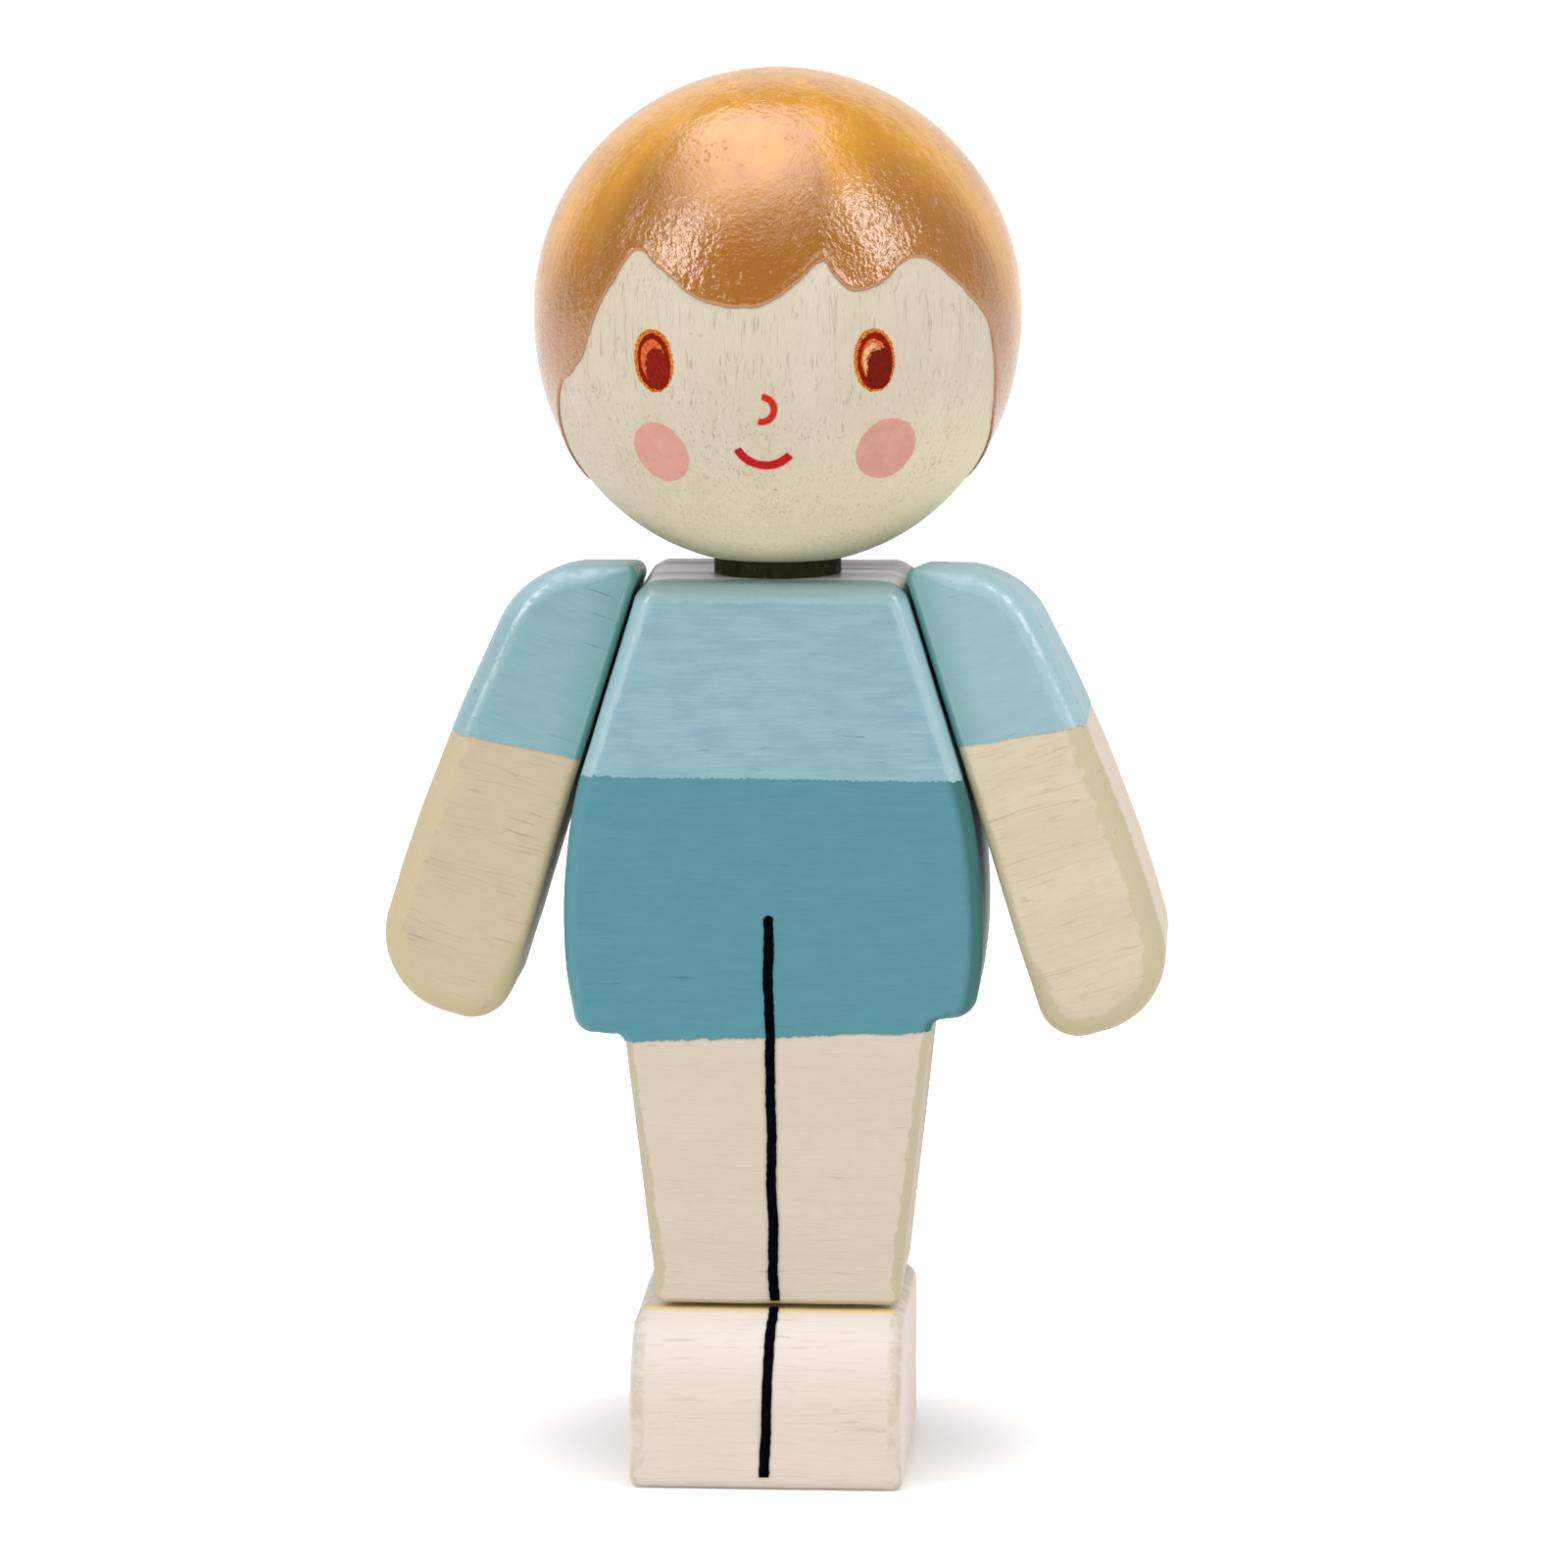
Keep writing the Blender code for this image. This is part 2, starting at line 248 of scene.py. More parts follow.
def lay_on(piece: Piece, wood: Piece, lift: float) -> None:
    """Lays a flat shape on the wood behind it and gives it the thickness of paint.

    Args:
        piece: The flat shape, in front of the wood and facing -Y.
        wood: The piece that carries it.
        lift: How far the paint stands proud, in millimetres.
    """
    apply_modifier(piece, "SHRINKWRAP", target=wood, wrap_method="PROJECT",
                   use_project_y=True, use_negative_direction=True,
                   use_positive_direction=True, offset=0.0)
    face_forward(piece)
    thicken_sheet(piece, 2 * lift)


def wander(point: Vector, size: float, seed: float) -> float:
    """Gives a smooth random value at a point.

    Args:
        point: The place, in metres.
        size: The distance over which it changes, in millimetres.
        seed: Tells one pattern from another.

    Returns:
        A value from about -1 to 1.
    """
    return noise.noise(point / (size * MM) + Vector((seed * 7.31, seed * 3.17, seed * 5.73)))


def dress(piece: Piece, material: Material, body: str) -> None:
    """Gives a finished piece its material, its body and its slot, and reports it.

    Args:
        piece: The mesh object.
        material: Its finish.
        body: The body of the model that it moves with.
    """
    piece.data.materials.clear()
    piece.data.materials.append(material)
    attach(piece, body)
    LOG.info("%s: %d faces, on %s", piece.name, len(piece.data.polygons), body)


class Graph:
    """Fills one node tree by short calls."""

    def __init__(self, tree: bpy.types.NodeTree) -> None:
        """Takes the tree to fill."""
        self.tree = tree

    def feed(self, sockets: Sockets, values: dict) -> None:
        """Links or sets a node's inputs.

        Args:
            sockets: The node's inputs.
            values: An output socket or a plain value for each input, by name or number.
        """
        for name, value in values.items():
            if isinstance(value, Socket):
                self.tree.links.new(value, sockets[name])
            else:
                sockets[name].default_value = value

    def add(self, kind: str, inputs: dict | None = None, **settings: object) -> bpy.types.Node:
        """Adds a node.

        Args:
            kind: The node's type name.
            inputs: Values or sockets by input name or number.
            settings: Its own properties.

        Returns:
            The new node.
        """
        node = self.tree.nodes.new(kind)
        for name, value in settings.items():
            setattr(node, name, value)
        self.feed(node.inputs, inputs or {})
        return node

    def math(self, operation: str, first: object, second: object = 0.0) -> Socket:
        """Adds a Math node and gives its result."""
        return self.add("ShaderNodeMath", {0: first, 1: second}, operation=operation).outputs[0]

    def vector(self, operation: str, first: object, second: object) -> Socket:
        """Adds a Vector Math node and gives its result."""
        node = self.add("ShaderNodeVectorMath", {0: first, 1: second}, operation=operation)
        return node.outputs[0]

    def split(self, vector: Socket) -> tuple[Socket, Socket, Socket]:
        """Gives a vector's X, Y and Z."""
        parts = self.add("ShaderNodeSeparateXYZ", {0: vector}).outputs
        return parts[0], parts[1], parts[2]

    def noise(self, place: Socket, scale: float, detail: float = 3.0, rough: float = 0.5) -> Socket:
        """Adds soft noise from 0 to 1 at a scale in turns per unit."""
        inputs = {"Vector": place, "Scale": scale, "Detail": detail, "Roughness": rough}
        return self.add("ShaderNodeTexNoise", inputs).outputs["Fac"]

    def cells(self, place: Socket, scale: object) -> tuple[Socket, Socket]:
        """Adds scattered cells and gives each one's colour and the distance to its middle."""
        outputs = self.add("ShaderNodeTexVoronoi", {"Vector": place, "Scale": scale}).outputs
        return outputs["Color"], outputs["Distance"]

    def band(self, value: Socket, low: float, high: float) -> Socket:
        """Maps a value smoothly onto 0 to 1.

        Args:
            value: The value.
            low: Where the result is 0.
            high: Where the result is 1. It may lie under low.

        Returns:
            The mask.
        """
        start, end = (0.0, 1.0) if low < high else (1.0, 0.0)
        inputs = {"Value": value, "From Min": min(low, high), "From Max": max(low, high),
                  "To Min": start, "To Max": end}
        return self.add("ShaderNodeMapRange", inputs, interpolation_type="SMOOTHSTEP").outputs[0]

    def spread(self, value: Socket, low: float, high: float) -> Socket:
        """Maps 0 to 1 onto low to high."""
        return self.math("ADD", self.math("MULTIPLY", value, high - low), low)

    def overlap(self, *masks: object) -> Socket:
        """Multiplies masks, which leaves what all of them cover."""
        return reduce(lambda first, second: self.math("MULTIPLY", first, second), masks)

    def either(self, *masks: object) -> Socket:
        """Gives the largest of some masks."""
        return reduce(lambda first, second: self.math("MAXIMUM", first, second), masks)

    def weigh(self, *parts: tuple[object, object]) -> Socket:
        """Adds up values.

        Args:
            parts: Each value and its weight.

        Returns:
            The sum.
        """
        total: object = 0.0
        for value, weight in parts:
            inputs = {0: value, 1: weight, 2: total}
            total = self.add("ShaderNodeMath", inputs, operation="MULTIPLY_ADD").outputs[0]
        return total

    def mix(self, mask: object, below: object, above: object) -> Socket:
        """Lays one colour over another by a mask."""
        inputs = {0: mask, 6: below, 7: above}
        return self.add("ShaderNodeMix", inputs, data_type="RGBA").outputs[2]

    def layered(self, ground: Colour, *coats: tuple[object, float, object]) -> Socket:
        """Lays coats of colour over a ground.

        Args:
            ground: The colour under all of them.
            coats: Each coat's mask, strength and colour, from the lowest to the top one.

        Returns:
            The colour of it all.
        """
        colour = tint(ground)
        for mask, strength, shade in coats:
            above = shade if isinstance(shade, Socket) else tint(shade)
            colour = self.mix(self.overlap(mask, strength), colour, above)
        return colour


class EffectGroup:
    """A shared effect: a node group that is built once and placed in each material."""

    name = "effect"
    inputs: dict[str, str] = {}
    outputs: tuple[str, ...] = ()
    defaults: dict[str, float] = {}

    def __init__(self) -> None:
        """Builds the group with its named sockets."""
        self.tree = bpy.data.node_groups.new(self.name, "ShaderNodeTree")
        words = [(label, kind, "INPUT") for label, kind in self.inputs.items()]
        words += [(label, "Float", "OUTPUT") for label in self.outputs]
        for label, kind, way in words:
            socket = self.tree.interface.new_socket(name=label, in_out=way,
                                                    socket_type="NodeSocket" + kind)
            if label in self.defaults:
                socket.default_value = self.defaults[label]
        graph = Graph(self.tree)
        graph.add("NodeGroupOutput", self.fill(graph, graph.add("NodeGroupInput").outputs))

    def fill(self, graph: Graph, given: Sockets) -> dict[str, Socket]:
        """Adds the group's nodes.

        Args:
            graph: The group's own graph.
            given: The group's inputs by name.

        Returns:
            The group's results by name.
        """
        raise NotImplementedError

    def place(self, graph: Graph, inputs: dict) -> Sockets:
        """Places the group in a material and gives its outputs."""
        return graph.add("ShaderNodeGroup", inputs, node_tree=self.tree).outputs


class GrainGroup(EffectGroup):
    """Wood grain that runs along X: soft clouds, fine fibre and short open pores."""

    name = "wood_grain"
    inputs = {"Place": "Vector", "Spacing": "Float", "Stretch": "Float", "Pores": "Float"}
    outputs = ("Cloud", "Fibre", "Pore", "Line", "Height")
    defaults = {"Spacing": 0.3, "Stretch": 12.0, "Pores": 0.5}

    def fill(self, graph: Graph, given: Sockets) -> dict[str, Socket]:
        """Stretches noise along X, in units of the spacing.

        Args:
            graph: The group's own graph.
            given: The group's inputs by name.

        Returns:
            The group's results by name.
        """
        shrink = graph.math("DIVIDE", 1.0, given["Stretch"])
        squeeze = graph.add("ShaderNodeCombineXYZ", {0: shrink, 1: 1.0, 2: 1.0}).outputs[0]
        bend = graph.add("ShaderNodeTexNoise", {"Vector": given["Place"], "Scale": 0.16})
        sway = graph.vector("MULTIPLY", bend.outputs["Color"], (0.0, 0.7, 0.7))
        along = graph.vector("MULTIPLY", graph.vector("ADD", given["Place"], sway), squeeze)
        spacing = graph.add("ShaderNodeCombineXYZ", dict.fromkeys(range(3), given["Spacing"]))
        lines = graph.vector("DIVIDE", along, spacing.outputs[0])
        fibre = graph.noise(lines, 1.0, 4.0, 0.62)
        colour, distance = graph.cells(lines, 0.55)
        rare = graph.math("LESS_THAN", graph.split(colour)[0], given["Pores"])
        crowd = graph.band(graph.noise(given["Place"], 0.32, 2.0), 0.4, 0.62)
        pore = graph.overlap(graph.band(distance, 0.34, 0.16), rare,
                             graph.band(fibre, 0.38, 0.6), crowd)
        course = graph.noise(graph.vector("MULTIPLY", lines, (0.09, 0.22, 0.22)), 1.0, 2.0, 0.4)
        middle = graph.math("ABSOLUTE", graph.math("SUBTRACT", course, 0.5))
        broken = graph.band(graph.noise(lines, 0.45, 3.0, 0.7), 0.46, 0.62)
        return {"Cloud": graph.noise(along, 0.3, 3.0, 0.55), "Fibre": fibre, "Pore": pore,
                "Line": graph.overlap(graph.band(middle, 0.02, 0.003), broken),
                "Height": graph.weigh((fibre, 1.0), (pore, -0.9))}


class RimGroup(EffectGroup):
    """Finds the rounded edges between a board's faces and its sawn sides."""

    name = "rounded_rim"
    inputs = {"Normal": "Vector", "Place": "Vector", "Fray": "Float"}
    outputs = ("Rim", "Side", "Shine")
    defaults = {"Fray": 0.3}

    def fill(self, graph: Graph, given: Sockets) -> dict[str, Socket]:
        """Reads how far the surface faces front or back, frayed by noise.

        Args:
            graph: The group's own graph.
            given: The group's inputs by name.

        Returns:
            The group's results by name.
        """
        facing = graph.math("ABSOLUTE", graph.split(given["Normal"])[1])
        fray = graph.math("SUBTRACT", graph.noise(given["Place"], 0.9, 4.0, 0.6), 0.5)
        loose = graph.overlap(graph.band(facing, 1.0, 0.97), given["Fray"])
        frayed = graph.weigh((facing, 1.0), (fray, loose))
        rim = graph.overlap(graph.band(frayed, 0.1, 0.4), graph.band(frayed, 0.992, 0.955))
        shine = graph.overlap(graph.band(facing, 0.3, 0.6), graph.band(facing, 0.998, 0.98))
        return {"Rim": rim, "Side": graph.band(frayed, 0.5, 0.2), "Shine": shine}


class SpeckGroup(EffectGroup):
    """Small scattered specks, such as dust in paint or missed dots."""

    name = "specks"
    inputs = {"Place": "Vector", "Spacing": "Float", "Share": "Float"}
    outputs = ("Speck",)
    defaults = {"Spacing": 0.8, "Share": 0.25}

    def fill(self, graph: Graph, given: Sockets) -> dict[str, Socket]:
        """Keeps the middles of some cells of a scattered pattern.

        Args:
            graph: The group's own graph.
            given: The group's inputs by name.

        Returns:
            The group's results by name.
        """
        torn = graph.noise(given["Place"], 6.0, 3.0, 0.6)
        colour, distance = graph.cells(given["Place"], graph.math("DIVIDE", 1.0, given["Spacing"]))
        rare = graph.math("LESS_THAN", graph.split(colour)[1], given["Share"])
        reach = graph.math("ADD", distance, graph.spread(torn, -0.12, 0.12))
        return {"Speck": graph.overlap(graph.band(reach, 0.2, 0.08), rare)}


@dataclass(frozen=True)
class Effects:
    """The shared effects that the finishes draw on."""

    grain: GrainGroup
    rim: RimGroup
    specks: SpeckGroup


@dataclass(frozen=True)
class Finish:
    """A finish made of nodes: the base class that turns a surface into a material."""

    name: str
    relief: float = 0.035

    def build(self, effects: Effects) -> Material:
        """Builds the material, with a relief as deep as its field says, in millimetres.

        Args:
            effects: The shared effects.

        Returns:
            The material.
        """
        material = bpy.data.materials.new(self.name)
        material.use_nodes = True
        graph = Graph(material.node_tree)
        values, height = self.surface(graph, effects)
        inputs = {"Strength": 1.0, "Distance": self.relief * MM, "Height": height}
        bump = graph.add("ShaderNodeBump", inputs).outputs[0]
        values |= {"Normal": bump, "Coat Normal": bump}
        graph.feed(material.node_tree.nodes["Principled BSDF"].inputs, values)
        return material

    def surface(self, graph: Graph, effects: Effects) -> tuple[dict[str, object], Socket]:
        """Adds the finish's own nodes.

        Args:
            graph: The material's graph.
            effects: The shared effects.

        Returns:
            What the shader's inputs take, by name, and the height of the relief.
        """
        raise NotImplementedError

    def place(self, graph: Graph, turn: tuple[float, float, float] = (0, 0, 0)) -> Socket:
        """Gives the place on the object in millimetres, turned so that the grain runs along X."""
        coordinates = graph.add("ShaderNodeTexCoord").outputs["Object"]
        inputs = {"Vector": coordinates, "Rotation": turn, "Scale": (1 / MM, 1 / MM, 1 / MM)}
        return graph.add("ShaderNodeMapping", inputs).outputs[0]

    def normal(self, graph: Graph) -> Socket:
        """Gives the direction that the surface faces."""
        return graph.add("ShaderNodeTexCoord").outputs["Normal"]


@dataclass(frozen=True)
class LimedWood(Finish):
    """Pale limed wood with grain across the piece, yellower rounded edges that are partly worn
    limewash and partly painted shade, and sides and tops coloured as painted light and shade.
    """

    base: Colour = (216, 203, 184)
    grey: Colour = (211, 196, 178)
    # edge: the rounded edges, partly worn limewash and partly painted shade where they turn from
    # the light
    edge: Colour = (196, 184, 154)
    # side: the sawn sides; on the hands it is paler, as painted light where the sides catch the
    # lamps
    side: Colour = (208, 196, 174)
    dash: Colour = (176, 158, 118)
    # top and top_back: upward faces, paler and bluer, partly bare limewash and partly a painted
    # sheen of the white backdrop, and darker behind as painted shade under the head
    top: Colour = (240, 239, 243)
    top_back: Colour = (188, 182, 194)
    slant: float = 0.0
    pores: float = 0.16
    spacing: float = 0.16
    fibrous: float = 0.14
    lined: float = 0.2

    def surface(self, graph: Graph, effects: Effects) -> tuple[dict[str, object], Socket]:
        """Adds the wood's own nodes.

        Args:
            graph: The material's graph.
            effects: The shared effects.

        Returns:
            What the shader's inputs take, by name, and the height of the relief.
        """
        place = self.place(graph, (0, self.slant, 0))
        grain = effects.grain.place(graph, {"Place": place, "Spacing": self.spacing,
                                            "Stretch": 14.0, "Pores": self.pores})
        normal = self.normal(graph)
        rim = effects.rim.place(graph, {"Normal": normal, "Place": place, "Fray": 0.35})
        mottle = graph.noise(graph.vector("MULTIPLY", place, (0.5, 1.0, 1.0)), 1.4, 5.0, 0.65)
        upward = graph.band(graph.split(normal)[2], 0.6, 0.95)
        level = graph.math("SUBTRACT", 1.0, upward)
        streak = graph.weigh((grain["Cloud"], 3.0), (grain["Fibre"], 2.0))
        behind = graph.band(graph.math("ADD", graph.split(place)[1], streak), -1.4, 1.2)
        colour = graph.layered(
            self.base,
            (graph.band(grain["Cloud"], 0.3, 0.75), 0.5, self.grey),
            (graph.band(mottle, 0.48, 0.72), 0.45, self.grey),
            (graph.band(grain["Fibre"], 0.52, 0.85), self.fibrous, self.dash),
            (grain["Line"], self.lined, self.dash),
            # Painted light and shade: upward faces take the top colours, sawn sides the side colour
            # and rounded edges the edge colour
            (upward, 1.0, graph.mix(behind, tint(self.top), tint(self.top_back))),
            (graph.overlap(rim["Side"], level), 0.8, self.side),
            (graph.overlap(rim["Rim"], level), 0.85, self.edge),
            (grain["Pore"], 0.55, self.dash))
        return {"Base Color": colour, "Roughness": graph.spread(grain["Fibre"], 0.5, 0.75),
                "Coat Weight": graph.overlap(upward, graph.band(streak, 1.9, 3.1)),
                "Coat IOR": 1.65, "Coat Roughness": 0.2}, grain["Height"]


@dataclass(frozen=True)
class FootWood(Finish):
    """The foot's limed wood: a top and sides painted brighter as painted light, a greyer front and
    olive edges at its sides.
    """

    base: Colour = (230, 216, 204)
    # top: the upward faces, painted brighter as painted light from above
    top: Colour = (234, 224, 215)
    grey: Colour = (226, 212, 200)
    edge: Colour = (204, 194, 168)
    # side: the foot's sides, painted paler as painted light
    side: Colour = (238, 228, 216)
    # A yellow strip before the joint: a painted glow standing for warm light reflected in the gap
    # under the leg
    painted_joint_glow: Colour = (248, 214, 122)
    dash: Colour = (160, 142, 120)
    joint: float = 7.75

    def surface(self, graph: Graph, effects: Effects) -> tuple[dict[str, object], Socket]:
        """Adds the wood's own nodes, with a painted glow: a yellow strip before the joint with the
        leg, standing for warm light reflected in the gap.

        Args:
            graph: The material's graph.
            effects: The shared effects.

        Returns:
            What the shader's inputs take, by name, and the height of the relief.
        """
        place = self.place(graph)
        grain = effects.grain.place(graph, {"Place": place, "Spacing": 0.15, "Stretch": 20.0,
                                            "Pores": 0.07})
        sideways, _, upward = graph.split(self.normal(graph))
        facing = graph.math("ABSOLUTE", sideways)
        rim = graph.overlap(graph.band(facing, 0.08, 0.3), graph.band(facing, 0.98, 0.8))
        worn = graph.band(graph.noise(place, 0.9, 5.0, 0.65), 0.38, 0.6)
        # The strip before the joint, on the upward faces, carries the painted glow
        front = graph.math("ADD", graph.split(place)[1], self.joint)
        strip = graph.overlap(graph.band(front, -0.5, -0.2), graph.band(front, 0.8, 0.3),
                              graph.band(upward, 0.9, 0.99))
        colour = graph.layered(
            self.base,
            (graph.band(grain["Cloud"], 0.35, 0.7), 1.0, self.grey),
            (graph.band(upward, 0.35, 0.85), 1.0, self.top),
            (graph.band(facing, 0.7, 0.95), 0.9, self.side),
            (graph.overlap(rim, worn), 0.6, self.edge),
            (graph.band(grain["Fibre"], 0.52, 0.8), 0.2, self.dash),
            (grain["Line"], 0.25, self.dash),
            (grain["Pore"], 0.4, self.dash),
            (strip, 0.8, self.painted_joint_glow))
        roughness = graph.spread(grain["Fibre"], 0.5, 0.75)
        return {"Base Color": colour, "Roughness": roughness}, grain["Height"]


@dataclass(frozen=True)
class BrushedPaint(Finish):
    """Thin matt paint brushed along the grain, with streaks and specks, and with painted light and
    shade: paler rounded edges, darker sides, a top colour, and painted shade beside a neighbouring
    piece.
    """

    relief: float = 0.016
    base: Colour = (143, 183, 191)
    deep: Colour = (129, 170, 182)
    pale: Colour = (164, 199, 204)
    dark: Colour = (66, 102, 112)
    # edge: the rounded edges, paler as a painted highlight
    edge: Colour = (165, 200, 209)
    # side: the sawn sides, darker as painted shade
    side: Colour = (128, 170, 178)
    # shade: painted shade on the side that faces a neighbouring piece
    shade: Colour = (104, 158, 156)
    # top: upward faces, paler by default as painted light; the shirt sets it darker as painted
    # shade under the head
    top: Colour = (165, 200, 209)
    slant: float = 0.0
    pores: float = 0.14
    streaks: float = 0.8
    # shaded and inner say where the painted shade beside a neighbouring piece goes
    shaded: Side | None = None
    inner: float = 0.0
    gloss: float = 1.0

    def surface(self, graph: Graph, effects: Effects) -> tuple[dict[str, object], Socket]:
        """Adds the paint's own nodes.

        Args:
            graph: The material's graph.
            effects: The shared effects.

        Returns:
            What the shader's inputs take, by name, and the height of the relief.
        """
        place = self.place(graph, (0, self.slant, 0))
        grain = effects.grain.place(graph, {"Place": place, "Spacing": 0.13, "Stretch": 22.0,
                                            "Pores": self.pores})
        specks = effects.specks.place(graph, {"Place": place, "Spacing": 0.9, "Share": 0.05})
        normal = self.normal(graph)
        rim = effects.rim.place(graph, {"Normal": normal, "Place": place, "Fray": 0.08})
        mottle = graph.noise(graph.vector("MULTIPLY", place, (0.3, 0.8, 1.0)), 1.1, 4.0, 0.6)
        inward = self.inward(graph, normal, place)
        colour = graph.layered(
            self.base,
            (graph.band(mottle, 0.35, 0.7), self.streaks, self.deep),
            (graph.band(grain["Fibre"], 0.5, 0.8), self.streaks, self.pale),
            (graph.band(grain["Fibre"], 0.45, 0.25), self.streaks, self.deep),
            # Painted light and shade: darker sides, paler edges, the top colour, and painted shade
            # beside a neighbouring piece
            (rim["Side"], 0.8, self.side),
            (rim["Rim"], 0.8, self.edge),
            (graph.band(graph.split(normal)[2], 0.15, 0.6), 0.9, self.top),
            (inward, 1.0, self.shade),
            (grain["Pore"], 0.5, self.dark),
            (specks["Speck"], 0.6, self.dark))
        broken = graph.band(graph.noise(place, 1.3, 3.0, 0.6), 0.36, 0.5)
        lit = graph.math("SUBTRACT", 1.0, inward)
        return {"Base Color": colour, "Roughness": graph.spread(grain["Fibre"], 0.35, 0.5),
                "Specular IOR Level": 0.3,
                "Coat Weight": graph.overlap(rim["Shine"], broken, lit, self.gloss),
                "Coat IOR": 1.65, "Coat Roughness": 0.1}, grain["Height"]

    def inward(self, graph: Graph, normal: Socket, place: Socket) -> Socket | float:
        """Finds the side that faces a neighbouring piece, where one does, for the painted shade
        there.

        Args:
            graph: The material's graph.
            normal: The direction that the surface faces.
            place: The place on the object.

        Returns:
            A mask for the painted shade on that side.
        """
        if self.shaded is None:
            return 0.0
        across = graph.math("MULTIPLY", graph.split(normal)[0], -self.shaded.value)
        turned_in = graph.band(across, 0.04, 0.5)
        if not self.inner:
            return turned_in
        out = graph.math("ABSOLUTE", graph.split(place)[0])
        near = graph.band(out, self.inner + 2.6, self.inner)
        return graph.either(turned_in, graph.overlap(near, 0.6))


@dataclass(frozen=True)
class FaceWash(Finish):
    """The head's pale wash over upright grain, a little greener low down and lighter there as
    painted light from below.
    """

    relief: float = 0.05
    base: Colour = (215, 204, 179)
    # The low tone is greener and lighter than the base; the lightness is painted light from below.
    green_and_painted_light: Colour = (237, 226, 191)
    pink: Colour = (222, 210, 191)
    fibre: Colour = (200, 188, 156)
    pore: Colour = (166, 154, 118)

    def surface(self, graph: Graph, effects: Effects) -> tuple[dict[str, object], Socket]:
        """Adds the wash's own nodes.

        Args:
            graph: The material's graph.
            effects: The shared effects.

        Returns:
            What the shader's inputs take, by name, and the height of the relief.
        """
        place = self.place(graph)
        grain = effects.grain.place(graph, {"Place": self.place(graph, UPRIGHT), "Spacing": 0.09,
                                            "Stretch": 14.0, "Pores": 0.4})
        pits = effects.specks.place(graph, {"Place": place, "Spacing": 0.8, "Share": 0.14})
        across, _, height = graph.split(place)
        # Low down the wash turns greener, and lighter as painted light from below.
        low = graph.band(graph.weigh((height, 1.0), (across, -0.25)), 66.0, 57.0)
        colour = graph.layered(
            self.base,
            (graph.band(grain["Cloud"], 0.3, 0.7), 1.0, self.pink),
            (low, 1.0, self.green_and_painted_light),
            (graph.band(grain["Fibre"], 0.5, 0.8), 0.5, self.fibre),
            (grain["Line"], 0.35, self.pore),
            (grain["Pore"], 0.5, self.pore),
            (pits["Speck"], 0.35, self.pore))
        height = graph.weigh((grain["Height"], 1.0), (grain["Line"], -0.5), (pits["Speck"], -0.5))
        return {"Base Color": colour, "Roughness": graph.spread(grain["Fibre"], 0.45, 0.6),
                "Specular IOR Level": 0.3}, height


@dataclass(frozen=True)
class HairPaint(Finish):
    """Copper-gold metallic paint, brushed along the hairline over upright grain."""

    relief: float = 0.075
    gold: Colour = (238, 168, 48)
    # A darker, redder tone: random clouds in the paint, and painted shade near the hairline over
    # the front lobes.
    copper_and_painted_shade: Colour = (156, 95, 36)
    pore: Colour = (150, 98, 40)

    def surface(self, graph: Graph, effects: Effects) -> tuple[dict[str, object], Socket]:
        """Adds the paint's own nodes. It is rougher near the hairline, and darker and redder there
        as painted shade over the front lobes.

        Args:
            graph: The material's graph.
            effects: The shared effects.

        Returns:
            What the shader's inputs take, by name, and the height of the relief.
        """
        place = self.place(graph)
        upright = self.place(graph, UPRIGHT)
        grain = effects.grain.place(graph, {"Place": upright, "Spacing": 0.2, "Stretch": 10.0,
                                            "Pores": 0.5})
        specks = effects.specks.place(graph, {"Place": place, "Spacing": 0.7, "Share": 0.35})
        brush = graph.add("ShaderNodeUVMap", uv_map="hair").outputs[0]
        from_line = graph.split(brush)[1]
        ridges = graph.noise(graph.vector("MULTIPLY", upright, (0.1, 1.7, 1.7)), 1.0, 2.0, 0.5)
        zone = graph.noise(place, 0.25, 2.0)
        rough_zone = graph.band(graph.weigh((from_line, 1.0), (zone, 8.0)), 14.0, 8.0)
        crinkle = graph.math(
            "ADD", self.crease(graph, graph.vector("MULTIPLY", brush, (1.3, 2.6, 1.0)), 1.0),
            self.crease(graph, place, 2.2))
        colour = graph.layered(
            self.gold,
            (graph.band(grain["Cloud"], 0.35, 0.75), 0.4, self.copper_and_painted_shade),
            # Painted shade: darker and redder near the hairline, over the front lobes.
            (graph.band(from_line, 12.0, 3.0), 0.85, self.copper_and_painted_shade),
            (grain["Pore"], 0.5, self.pore))
        height = graph.weigh((ridges, 0.6), (crinkle, graph.spread(rough_zone, 0.32, 0.9)),
                             (graph.noise(place, 2.6, 1.0), 0.35), (grain["Pore"], -0.35),
                             (specks["Speck"], -0.35))
        return {"Base Color": colour, "Metallic": 0.14, "Specular IOR Level": 0.0,
                "Roughness": graph.spread(grain["Fibre"], 0.3, 0.45), "Coat Weight": 1.0,
                "Coat IOR": 1.85, "Coat Roughness": 0.11}, height

    def crease(self, graph: Graph, place: Socket, scale: float) -> Socket:
        """Adds noise with sharp valleys, as in paint that has wrinkled while drying."""
        soft = graph.noise(place, scale, 2.0, 0.5)
        return graph.math("ABSOLUTE", graph.math("SUBTRACT", soft, 0.5))


